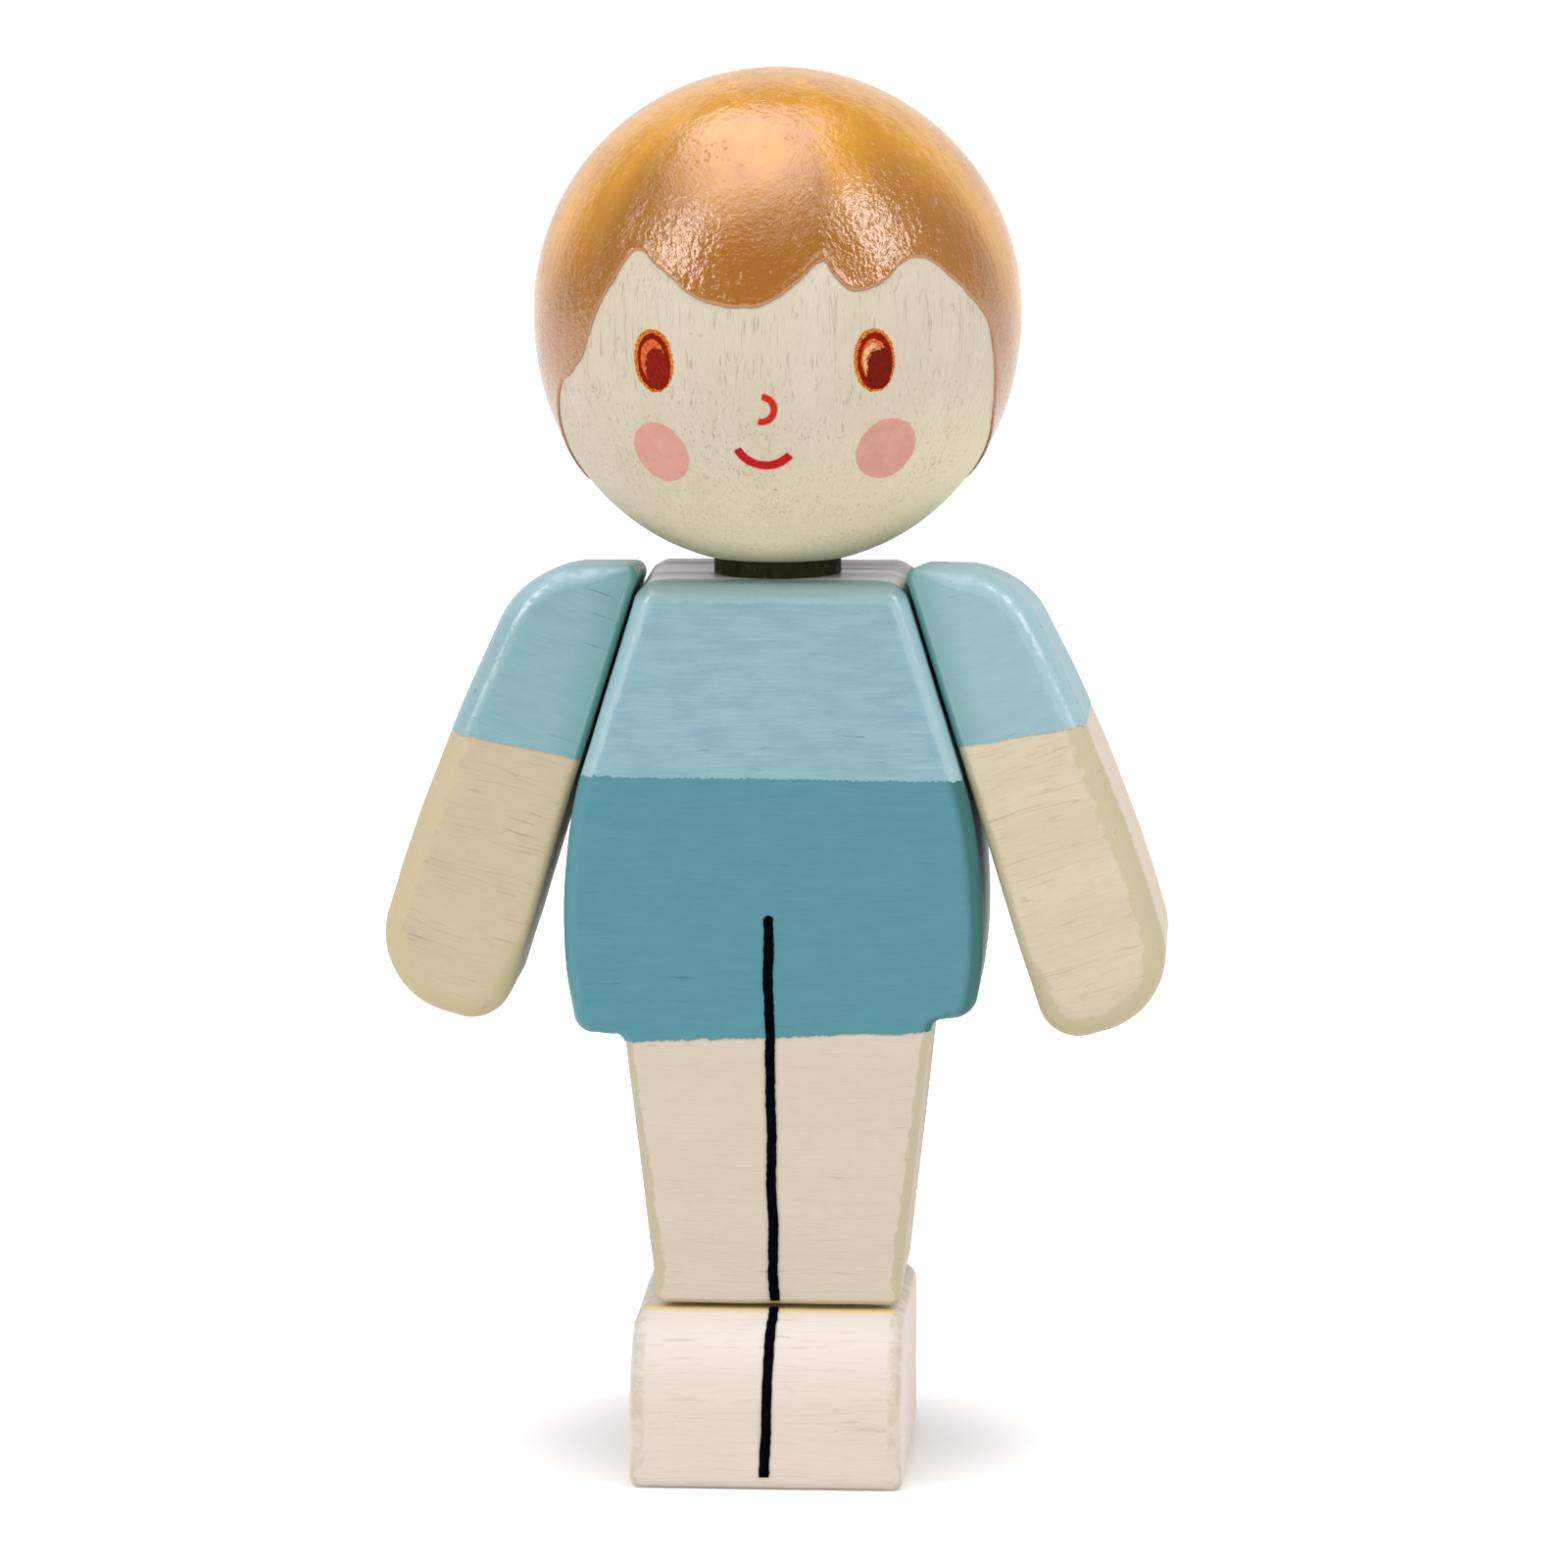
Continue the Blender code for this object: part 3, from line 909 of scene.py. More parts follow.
@dataclass(frozen=True)
class Enamel(Finish):
    """A dab of opaque paint on the face or the legs, a little uneven."""

    relief: float = 0.02
    base: Colour = (150, 30, 15)
    varied: Colour = (120, 35, 15)
    light: Colour = (220, 110, 60)
    roughness: float = 0.45
    size: float = 0.5
    share: float = 0.35
    gloss: float = 0.06

    def surface(self, graph: Graph, effects: Effects) -> tuple[dict[str, object], Socket]:
        """Adds the paint's own nodes.

        Args:
            graph: The material's graph.
            effects: The shared effects.

        Returns:
            What the shader's inputs take, by name, and the height of the relief.
        """
        place = self.place(graph)
        grain = effects.grain.place(graph, {"Place": self.place(graph, UPRIGHT), "Spacing": 0.16,
                                            "Stretch": 6.0, "Pores": 0.25})
        cloud = graph.noise(place, 1 / self.size, 4.0, 0.6)
        patch = graph.band(graph.noise(place, 1.7 / self.size, 3.0, 0.6), 0.56, 0.72)
        colour = graph.layered(
            self.base,
            (graph.band(cloud, 0.4, 0.65), 1.0, self.varied),
            (patch, self.share, self.light),
            (grain["Pore"], 0.45, self.varied))
        roughness = graph.spread(cloud, self.roughness - 0.1, self.roughness + 0.15)
        return {"Base Color": colour, "Roughness": roughness,
                "Specular IOR Level": self.gloss}, graph.math("ADD", cloud, grain["Height"])


@dataclass(frozen=True)
class Corner:
    """A corner of a sawn outline, in millimetres: its place and its two roundings."""

    across: float
    height: float
    radius: float
    edge: float

    @property
    def point(self) -> Vector:
        """The corner's place in the board's plane."""
        return Vector((self.across, self.height))

    @property
    def spot(self) -> Vector:
        """The corner's place in space, in metres."""
        return Vector((self.across, 0, self.height)) * MM


def turn_between(inward: Vector, onward: Vector) -> float:
    """Gives the signed angle from one direction to the next, positive anticlockwise."""
    return math.atan2(inward.x * onward.y - inward.y * onward.x, inward.dot(onward))


@dataclass
class Board:
    """A piece sawn from a board to an outline, with its front and back edges rounded over.

    It lies in the XZ plane, centred on Y = 0, until it is set in its place.
    """

    name: str
    corners: list[Corner]
    thickness: float
    grid: float = 0.7
    deep_grid: float = 1.12
    edge_steps: int = 6
    flat_ring: float = 0.14
    arc_chord: float = 0.22
    waviness: float = 0.07
    wave_size: float = 3.4
    place: Matrix = field(default_factory=Matrix)

    def reaches(self) -> list[float]:
        """Finds how far from each corner its rounding starts, where all of them fit.

        Returns:
            One length for each corner, in millimetres.
        """
        count = len(self.corners)
        wanted = []
        for i, corner in enumerate(self.corners):
            inward = corner.point - self.corners[i - 1].point
            onward = self.corners[(i + 1) % count].point - corner.point
            wanted.append(corner.radius * math.tan(abs(turn_between(inward, onward)) / 2))
        shares = []
        for i, corner in enumerate(self.corners):
            room = (self.corners[(i + 1) % count].point - corner.point).length
            needed = wanted[i] + wanted[(i + 1) % count]
            shares.append(min(1.0, room / needed) if needed else 1.0)
        return [reach * min(shares[i - 1], shares[i]) * 0.998 for i, reach in enumerate(wanted)]

    def saw(self) -> Piece:
        """Cuts the outline: a polygon whose corners are moved into place and rounded.

        Returns:
            The flat piece, of one face.
        """
        piece = add_piece(self.name, bpy.ops.mesh.primitive_circle_add,
                          vertices=len(self.corners), radius=10 * MM, fill_type="NGON",
                          rotation=(math.pi / 2, 0, 0))
        with editing(piece):
            for i, corner in enumerate(self.corners):
                mesh = bmesh.from_edit_mesh(piece.data)
                mesh.verts.ensure_lookup_table()
                start = mesh.verts[i].co.copy()
                choose(piece, "verts", lambda vert, i=i: vert.index == i)
                bpy.ops.transform.translate(value=corner.spot - start)
            for corner, reach in zip(self.corners, self.reaches()):
                if reach < 0.001:
                    continue
                choose(piece, "verts",
                       lambda vert, goal=corner.spot: (vert.co - goal).length < 0.002 * MM)
                steps = max(3, math.ceil(2 * reach / self.arc_chord))
                bpy.ops.mesh.bevel(offset=reach * MM, offset_type="OFFSET", segments=steps,
                                   profile=0.5, affect="VERTICES", clamp_overlap=False)
        return piece

    def rim(self, piece: Piece) -> list[tuple[Vector, Vector, float]]:
        """Reads the sawn outline back from its one face.

        Args:
            piece: The sawn, still flat piece.

        Returns:
            For each point, its place, the direction inwards and its edge rounding.
        """
        points = [piece.data.vertices[i].co for i in piece.data.polygons[0].vertices]
        points = [Vector((point.x, point.z)) / MM for point in points]
        count = len(points)
        area = sum(points[i - 1].x * points[i].y - points[i].x * points[i - 1].y
                   for i in range(count))
        around = 1 if area > 0 else -1
        reaches = self.reaches()
        rim = []
        for i, point in enumerate(points):
            before = (point - points[i - 1]).normalized()
            after = (points[(i + 1) % count] - point).normalized()
            half_turn = turn_between(before, after) / 2
            along = (before + after).normalized()
            inward = Vector((-along.y, along.x)) * around / math.cos(half_turn)
            owner = min(range(len(self.corners)),
                        key=lambda k: (point - self.corners[k].point).length - reaches[k])
            edge, radius = self.corners[owner].edge, self.corners[owner].radius
            rim.append((point, inward, min(edge, radius - self.flat_ring) if radius else edge))
        return rim

    def thicken(self, piece: Piece) -> None:
        """Extrudes the outline to its thickness, and rounds both edges ring by ring.

        Args:
            piece: The sawn, still flat piece.
        """
        rim = self.rim(piece)
        order = list(piece.data.polygons[0].vertices)
        half = self.thickness / 2
        with editing(piece, "FACE"):
            mesh = bmesh.from_edit_mesh(piece.data)
            mark = mesh.verts.layers.int.new("rim")
            mesh.verts.ensure_lookup_table()
            for place, index in enumerate(order):
                mesh.verts[index][mark] = place
            choose_all()
            extrude((0, half * MM, 0))
            for side in (1, -1):
                far = half * MM / 2
                choose(piece, "faces", lambda face: len(face.verts) == len(order)
                       and (face.calc_center_median().y > far) == (side == 1))
                for step in range(self.edge_steps + 1):
                    if step:
                        extrude()
                    self.set_ring(piece, rim, side, math.pi / 2 * step / self.edge_steps)
                bpy.ops.mesh.inset(thickness=0.5 * self.flat_ring * MM)

    def set_ring(self, piece: Piece, rim: list, side: int, angle: float) -> None:
        """Puts the selected ring at its angle round the rounded edge.

        Args:
            piece: The piece, in edit mode.
            rim: The outline, from rim().
            side: 1 for the back edge, -1 for the front one.
            angle: 0 at the sawn side, a quarter turn at the flat face.
        """
        mesh = bmesh.from_edit_mesh(piece.data)
        mark = mesh.verts.layers.int["rim"]
        for vert in mesh.verts:
            if vert.select:
                point, inward, edge = rim[vert[mark]]
                flat = point + inward * edge * (1 - math.cos(angle))
                depth = side * (self.thickness / 2 - edge * (1 - math.sin(angle)))
                vert.co = Vector((flat.x, depth, flat.y)) * MM
        bmesh.update_edit_mesh(piece.data)

    def grid_up(self, piece: Piece) -> None:
        """Cuts the piece into a fine grid, so that its surface can be uneven.

        Args:
            piece: The rounded piece.
        """
        low = [min(vert.co[axis] for vert in piece.data.vertices) for axis in range(3)]
        high = [max(vert.co[axis] for vert in piece.data.vertices) for axis in range(3)]
        with editing(piece, "FACE"):
            for axis, step in enumerate((self.grid, self.deep_grid, self.grid)):
                normal = [1.0 if i == axis else 0.0 for i in range(3)]
                count = round((high[axis] - low[axis]) / (step * MM))
                for cut in range(1, count):
                    place = [0.0, 0.0, 0.0]
                    place[axis] = low[axis] + (high[axis] - low[axis]) * cut / count
                    choose_all()
                    bpy.ops.mesh.bisect(plane_co=place, plane_no=normal)

    def build(self) -> Piece:
        """Makes the board.

        Returns:
            The finished board in its place.
        """
        piece = self.saw()
        self.thicken(piece)
        tidy_normals(piece)
        self.grid_up(piece)
        tidy_normals(piece)
        make_wavy(piece, self.waviness, self.wave_size, 2)
        piece.matrix_world = self.place
        settle(piece)
        smooth(piece, 50)
        return piece


@dataclass(frozen=True)
class PaintLine:
    """A straight border of paint, in the figure's front view, and the side that is painted."""

    start: Point
    end: Point
    above: bool
    fray: float = 0.12
    seed: float = 1.0

    @property
    def point(self) -> Vector:
        """A point on the border."""
        return Vector((self.start[0], 0, self.start[1])) * MM

    @property
    def normal(self) -> Vector:
        """The direction square to the border that leads into the paint."""
        along = Vector((self.end[0] - self.start[0], 0, self.end[1] - self.start[1])).normalized()
        square = Vector((-along.z, 0, along.x))
        return square if (square.z > 0) == self.above else -square

    def depth(self, point: Vector) -> float:
        """Gives how far inside the paint a point lies, in millimetres."""
        return (point - self.point).dot(self.normal) / MM


@dataclass
class Coat:
    """A thin coat of paint over part of a wooden piece.

    Where it has a bare top, the paint ends behind a collar line, given by its depth and by
    the lowest height that it leaves bare. The collar falls away beyond collar_end.
    """

    name: str
    wood: Piece
    borders: list[PaintLine]
    thickness: float = 0.07
    sunk: float = 0.4
    reach: float = 0.9
    bare_top: Point | None = None
    collar_end: float = 6.2
    collar_fall: float = 0.8

    def open_top(self, piece: Piece) -> None:
        """Takes the paint off the bare top and frays its edge.

        Args:
            piece: The coat.
        """
        front, low = self.bare_top[0] * MM, self.bare_top[1] * MM
        with editing(piece, "FACE"):
            choose(piece, "faces", lambda face: face.calc_center_median().z > low - 2 * MM)
            bpy.ops.mesh.bisect(plane_co=(0, front, 0), plane_no=(0, 1, 0))
            choose(piece, "faces", lambda face: face.calc_center_median().z > low - 2 * MM
                   and face.calc_center_median().y > front)
            bpy.ops.mesh.bisect(plane_co=(0, 0, low), plane_no=(0, 0, 1))
            choose(piece, "faces", lambda face: face.calc_center_median().z > low
                   and face.calc_center_median().y > front)
            bpy.ops.mesh.delete(type="FACE")
            bpy.ops.mesh.select_mode(type="EDGE")
            choose(piece, "edges", lambda edge: edge.is_boundary)
            bpy.ops.mesh.subdivide(number_cuts=3)
            mesh = bmesh.from_edit_mesh(piece.data)
            for vert in mesh.verts:
                if vert.is_boundary and vert.co.z > low + 0.05 * MM:
                    spot = vert.co.copy()
                    shift = 0.16 * wander(spot, 0.5, 51) + 0.3 * wander(spot, 2.0, 52)
                    outer = max(0.0, abs(spot.x) / MM - self.collar_end)
                    vert.co.y += (shift - self.collar_fall * outer) * MM
            bmesh.update_edit_mesh(piece.data)

    def cut(self, piece: Piece, border: PaintLine) -> None:
        """Cuts the coat off at a border and frays it.

        Args:
            piece: The coat.
            border: The border.
        """
        with editing(piece, "FACE"):
            choose_all()
            bpy.ops.mesh.bisect(plane_co=border.point, plane_no=border.normal,
                                clear_inner=True)
        with editing(piece, "EDGE"):
            choose(piece, "edges", lambda edge: edge.is_boundary
                   and all(abs(border.depth(vert.co)) < 0.01 for vert in edge.verts))
            bpy.ops.mesh.subdivide(number_cuts=6)
        for vert in piece.data.vertices:
            depth = border.depth(vert.co)
            if depth < self.reach:
                share = 1 - max(depth, 0) / self.reach
                shift = 0.3 * wander(vert.co, 1.6, border.seed) + wander(vert.co, 0.2, border.seed)
                slow = 0.25 * wander(vert.co, 6.0, border.seed)
                vert.co += border.normal * (border.fray * (shift + slow) * share * MM)

    def build(self) -> Piece:
        """Makes the coat from a copy of the wood's surface.

        Returns:
            The coat.
        """
        piece = bpy.data.objects.new(self.name, self.wood.data.copy())
        piece.data.name = self.name
        bpy.context.scene.collection.objects.link(piece)
        if self.bare_top:
            self.open_top(piece)
        for border in self.borders:
            self.cut(piece, border)
        apply_modifier(piece, "SOLIDIFY", thickness=self.thickness * MM,
                       offset=1 - 2 * self.sunk, use_rim=True, use_even_offset=False)
        smooth(piece, 50)
        return piece


@dataclass
class BodyBlock:
    """The body with its legs, painted as a shirt and shorts."""

    thickness: float = 15.5
    top_z: float = 54.8
    foot_height: float = 10.2
    shoulder_width: float = 16.0
    side_slope: float = math.radians(17.0)
    hip_z: float = 36.8
    hip_radius: float = 29.0
    hem_out: dict = field(default_factory=lambda: {Side.LEFT: 12.4, Side.RIGHT: 11.85})
    hem_z: dict = field(default_factory=lambda: {Side.LEFT: 28.3, Side.RIGHT: 27.2})
    hem_corner: dict = field(default_factory=lambda: {Side.LEFT: 1.5, Side.RIGHT: 1.2})
    hem_fillet: float = 0.7
    leg_top_width: float = 18.8
    ankle_width: float = 14.9
    leg_offset: float = 0.45
    top_edge: float = 1.4
    edge: float = 1.0
    leg_end_edge: float = 0.5

    def side(self, side: Side) -> list[Corner]:
        """Lists the outline's corners on one side.

        Args:
            side: The figure's side.

        Returns:
            The corners from the top down.
        """
        sign = side.value
        leg_end_z = self.foot_height + GAP
        hip_x = self.shoulder_width / 2 + (self.top_z - self.hip_z) * math.tan(self.side_slope)
        leg_top = Vector((self.leg_top_width / 2 + sign * self.leg_offset, self.hem_z[side]))
        leg_end = Vector((self.ankle_width / 2 + sign * self.leg_offset, leg_end_z))
        above_end = leg_end.lerp(leg_top, 3 * self.leg_end_edge / (leg_top.y - leg_end_z))
        corners = [
            (self.shoulder_width / 2, self.top_z, self.top_edge, self.top_edge),
            (hip_x, self.hip_z, self.hip_radius, self.edge),
            (self.hem_out[side], self.hem_z[side], self.hem_corner[side], self.edge),
            (leg_top.x, leg_top.y, self.hem_fillet, self.edge),
            (above_end.x, above_end.y, 0, self.edge),
            (leg_end.x, leg_end.y, self.leg_end_edge, self.leg_end_edge),
        ]
        return [Corner(sign * across, z, radius, edge) for across, z, radius, edge in corners]

    def build(self, effects: Effects) -> Piece:
        """Makes the block and its two coats of paint.

        Args:
            effects: The shared effects for the finishes.

        Returns:
            The bare block, which the marks are laid on.
        """
        corners = self.side(Side.LEFT) + list(reversed(self.side(Side.RIGHT)))
        wood = Board("body_wood", corners, self.thickness).build()
        waist = PaintLine((-10.7, 42.6), (11.5, 42.5), True, 0.1, 2.0)
        shirt = Coat("shirt_paint", wood, [waist], 0.06, bare_top=(-4.5, 54.35)).build()
        shorts_top = PaintLine((-10.7, 43.1), (11.5, 42.95), False, 0.14, 4.0)
        shorts_hem = PaintLine((-8.7, 26.75), (10.2, 27.55), True, 0.14, 5.0)
        shorts = Coat("shorts_paint", wood, [shorts_top, shorts_hem], 0.08).build()
        dress(wood, LimedWood("limed_block").build(effects), "torso")
        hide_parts("body_block")
        # The shirt's top is darker as painted shade under the head.
        blue = BrushedPaint("shirt_blue", top=(140, 170, 174))
        dress(shirt, blue.build(effects), "torso")
        # The shorts' darker sides, and their +X side beside the arm, are painted shade.
        teal = BrushedPaint("shorts_teal", base=(84, 144, 156), deep=(77, 137, 149),
                            pale=(96, 154, 166), dark=(36, 70, 78), edge=(87, 147, 158),
                            side=(66, 118, 124), shade=(54, 108, 108), top=(87, 147, 158),
                            pores=0.05, streaks=0.5, shaded=Side.RIGHT, gloss=0.1)
        dress(shorts, teal.build(effects), "torso")
        return wood


@dataclass
class FootBlock:
    """The one foot block under both legs, sawn from the side."""

    height: float = 10.2
    width: float = 16.7
    front: float = 12.8
    back: float = 7.75
    toe_radius: float = 5.5
    edge: float = 1.1
    sole_edge: float = 0.8

    def build(self, effects: Effects) -> None:
        """Makes the foot from its side view, which runs from toe to heel.

        Args:
            effects: The shared effects for the finish.
        """
        above_sole = 2 * self.sole_edge
        corners = [
            Corner(self.front, 0, self.sole_edge, self.sole_edge),
            Corner(-self.back, 0, self.sole_edge, self.sole_edge),
            Corner(-self.back, above_sole, 0, self.edge),
            Corner(-self.back, self.height, self.edge, self.edge),
            Corner(self.front, self.height, self.toe_radius, self.edge),
            Corner(self.front, above_sole, 0, self.edge),
        ]
        wood = Board("foot_wood", corners, self.width,
                     place=Matrix.Rotation(-math.pi / 2, 4, "Z")).build()
        for vert in wood.data.vertices:
            vert.co.z = max(vert.co.z, 0.0)
        dress(wood, FootWood("limed_foot").build(effects), "torso")
        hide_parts("foot_block")


@dataclass
class Arm:
    """One arm that lies on the body's slanted side, with its painted sleeve."""

    side: Side
    length: float
    flare: float
    cuff: PaintLine
    thickness: float = 13.5
    width: float = 8.65
    ease: float = 6.0
    flare_length: float = 15.0
    shoulder_radius: float = 5.3
    bow: float = 85.0
    hand_outer: float = 5.0
    hand_inner: float = 2.6
    outer_edge: float = 1.7
    inner_edge: float = 0.7
    peg_down: float = 7.4
    top_lift: float = 0.5
    top_fall: float = 0.096
    slope_reach: float = 6.0

    def corners(self, body: BodyBlock) -> list[Corner]:
        """Lists the outline's corners round the peg's axis, with the arm's length along -Z.

        Args:
            body: The body block, for its slope.

        Returns:
            The corners, from the shoulder's inner one round to the hand's.
        """
        lean = math.tan(body.side_slope)
        flare = math.tan(self.flare)
        top_inner = GAP * lean
        outer_start = self.width - self.flare_length * flare
        top_outer = (top_inner + lean * outer_start) / (1 - lean * flare)
        corners = [
            (0, top_inner, self.inner_edge, self.inner_edge),
            (outer_start + flare * top_outer, top_outer, self.shoulder_radius, self.outer_edge),
            (self.width, self.flare_length, self.bow, self.outer_edge),
            (self.width, self.length, self.hand_outer, self.outer_edge),
            (0, self.length, self.hand_inner, self.outer_edge),
            (0, self.length - self.ease, 0, self.inner_edge),
        ]
        sign = self.side.value
        return [Corner(sign * (out + GAP), self.peg_down - down, radius, edge)
                for out, down, radius, edge in corners]

    def place(self, body: BodyBlock) -> Matrix:
        """Finds the arm's place: its peg's mouth on the body's side, and the side's slope.

        Args:
            body: The body block.

        Returns:
            The place, in metres.
        """
        sign = self.side.value
        out = body.shoulder_width / 2 + self.peg_down * math.sin(body.side_slope)
        height = body.top_z - self.peg_down * math.cos(body.side_slope)
        pivot = Vector((sign * out, 0, height)) * MM
        return Matrix.Translation(pivot) @ Matrix.Rotation(-sign * body.side_slope, 4, "Y")

    def slope_top(self, piece: Piece, body: BodyBlock) -> None:
        """Lifts the arm's top at the front, so that it falls away to the back.

        Args:
            piece: The arm in its place.
            body: The body block.
        """
        place = self.place(body)
        turned_back = place.inverted()
        for vert in piece.data.vertices:
            local = turned_back @ vert.co / MM
            share = min(1.0, max(0.0, (local.z + self.slope_reach) / (2 * self.slope_reach)))
            lift = share * share * (3 - 2 * share) * (self.top_lift - self.top_fall * local.y)
            local.z += lift
            vert.co = place @ (local * MM)

    def wood(self, slant: float) -> LimedWood:
        """Gives the bare hand's wood, which is darker and more open on the right, with paler sides
        and tops as painted light.

        Args:
            slant: The turn of its grain.

        Returns:
            The finish.
        """
        # The sides and tops are paler than each hand's face, as painted light where they catch the
        # lamps; back holds that pale colour.
        name, back = "hand_wood_" + self.side.word, (230, 216, 200)
        if self.side is Side.RIGHT:
            return LimedWood(name, base=(204, 188, 158), grey=(194, 175, 146),
                             edge=(204, 190, 150), side=(214, 200, 172), top=(214, 200, 172),
                             top_back=back, slant=slant, pores=0.45, spacing=0.15, lined=0.6,
                             fibrous=0.3)
        return LimedWood(name, base=(219, 205, 179), grey=(206, 190, 161), edge=(200, 188, 152),
                         side=back, top=back, top_back=back, slant=slant, pores=0.2,
                         spacing=0.18, lined=0.6, fibrous=0.4)

    def paint(self, slant: float, inner: float) -> BrushedPaint:
        """Gives the sleeve's paint, which is darker on the right.

        Args:
            slant: The turn of its brush marks.
            inner: How far out the face beside the body lies, in millimetres.

        Returns:
            The finish.
        """
        tones = {"base": (152, 188, 194), "deep": (142, 181, 188)}
        if self.side is Side.RIGHT:
            tones = {"base": (136, 177, 184), "deep": (126, 170, 177), "pale": (150, 190, 196),
                     "edge": (146, 184, 190), "side": (118, 160, 166)}
        # The sleeve gets painted shade on its side facing the body and on the part near it.
        return BrushedPaint("sleeve_blue_" + self.side.word, slant=slant, shaded=self.side,
                            inner=inner, streaks=0.6, **tones)

    def build(self, body: BodyBlock, effects: Effects) -> None:
        """Makes the arm and its sleeve.

        Args:
            body: The body block, for its slope.
            effects: The shared effects for the finishes.
        """
        word = self.side.word
        arm = Board("arm_wood_" + word, self.corners(body), self.thickness,
                    place=self.place(body)).build()
        self.slope_top(arm, body)
        sleeve = Coat("sleeve_paint_" + word, arm, [self.cuff], 0.07).build()
        slant = self.side.value * body.side_slope
        inner = (body.shoulder_width / 2 * math.cos(slant)
                 + body.top_z * math.sin(body.side_slope) + GAP)
        dress(arm, self.wood(slant).build(effects), "arm_" + word)
        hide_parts("arm_" + word)
        dress(sleeve, self.paint(slant, inner).build(effects), "arm_" + word)


@dataclass(frozen=True)
class Ball:
    """The head's turned profile: a little fuller and longer below its widest line."""

    radius: float = 14.875
    rise: float = 14.8
    drop: float = 15.6
    top_fullness: float = 2.0
    base_fullness: float = 2.09
    centre_z: float = 70.85

    def half(self, angle: float) -> tuple[float, float]:
        """Gives the fullness and the height of the half that an angle lies in."""
        upper = (self.top_fullness, self.rise)
        return upper if angle > 0 else (self.base_fullness, self.drop)

    def profile(self, angle: float) -> Point:
        """Finds a point of the profile.

        Args:
            angle: The profile's angle, from -pi/2 at the base to pi/2 at the crown.

        Returns:
            The distance from the axis and the height above the centre, in millimetres.
        """
        fullness, height = self.half(angle)
        out = self.radius * max(math.cos(angle), 0.0) ** (2 / fullness)
        return out, math.copysign(height * abs(math.sin(angle)) ** (2 / fullness), angle)

    def angle_at(self, elevation: float) -> float:
        """Turns an elevation seen from the ball's centre into the profile's angle.

        Args:
            elevation: The elevation, in radians.

        Returns:
            The angle, in radians.
        """
        fullness, height = self.half(elevation)
        slope = (abs(math.tan(elevation)) * self.radius / height) ** (fullness / 2)
        return math.copysign(math.atan(slope), elevation)

    def point(self, azimuth: float, angle: float, lift: float = 0.0) -> Vector:
        """Finds a point on the ball, or lifted off it.

        Args:
            azimuth: The direction round the axis, 0 at the front and positive to the left side.
            angle: The profile's angle.
            lift: How far off the surface, in millimetres.

        Returns:
            The point, in metres.
        """
        out, height = self.profile(angle)
        steepness = Vector((out / self.radius ** 2, height / self.rise ** 2)).normalized()
        out += steepness.x * lift
        height += steepness.y * lift + self.centre_z
        return Vector((out * math.sin(azimuth), -out * math.cos(azimuth), height)) * MM


def turned(name: str, profile: list[Point], steps: int) -> Piece:
    """Turns a profile round the Z axis, as on a lathe.

    Args:
        name: The new piece's name.
        profile: Distance from the axis and height of each point, in millimetres.
        steps: How many steps make the full turn.

    Returns:
        The turned piece, with its normals outwards.
    """
    piece = add_piece(name, bpy.ops.mesh.primitive_plane_add, size=MM)
    points = [Vector((out, 0, height)) * MM for out, height in profile]
    with editing(piece):
        choose_all()
        bpy.ops.mesh.merge(type="CENTER")
        bpy.ops.transform.translate(value=points[0])
        for here, onward in zip(points, points[1:]):
            extrude(onward - here)
        choose_all()
        bpy.ops.mesh.spin(steps=steps, angle=2 * math.pi, center=(0, 0, 0), axis=(0, 0, 1))
    tidy_normals(piece)
    return piece


@dataclass
class Head:
    """The turned ball with its bore for the neck dowel."""

    ball: Ball = field(default_factory=Ball)
    neck_diameter: float = 7.8
    bore_depth: float = 10.0
    rings: int = 84
    steps: int = 144
    waviness: float = 0.05
    wave_size: float = 5.0

    def build(self, effects: Effects) -> Piece:
        """Makes the ball.

        Args:
            effects: The shared effects for the finish.

        Returns:
            The ball, which the face is laid on.
        """
        bore = self.neck_diameter / 2 + GAP
        bore_top = self.ball.centre_z - self.ball.drop + self.bore_depth
        profile = [(0.0, bore_top), (bore, bore_top)]
        for ring in range(self.rings + 1):
            out, height = self.ball.profile(-math.pi / 2 + math.pi * ring / self.rings)
            if height < 0 and out <= bore:
                continue
            if len(profile) == 2:
                profile.append((bore, height + self.ball.centre_z))
            profile.append((out if ring < self.rings else 0.0, height + self.ball.centre_z))
        wood = turned("head_wood", profile, self.steps)
        make_wavy(wood, self.waviness, self.wave_size, 2)
        smooth(wood, 50)
        dress(wood, FaceWash("face_wash").build(effects), "head")
        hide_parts("head_ball")
        return wood


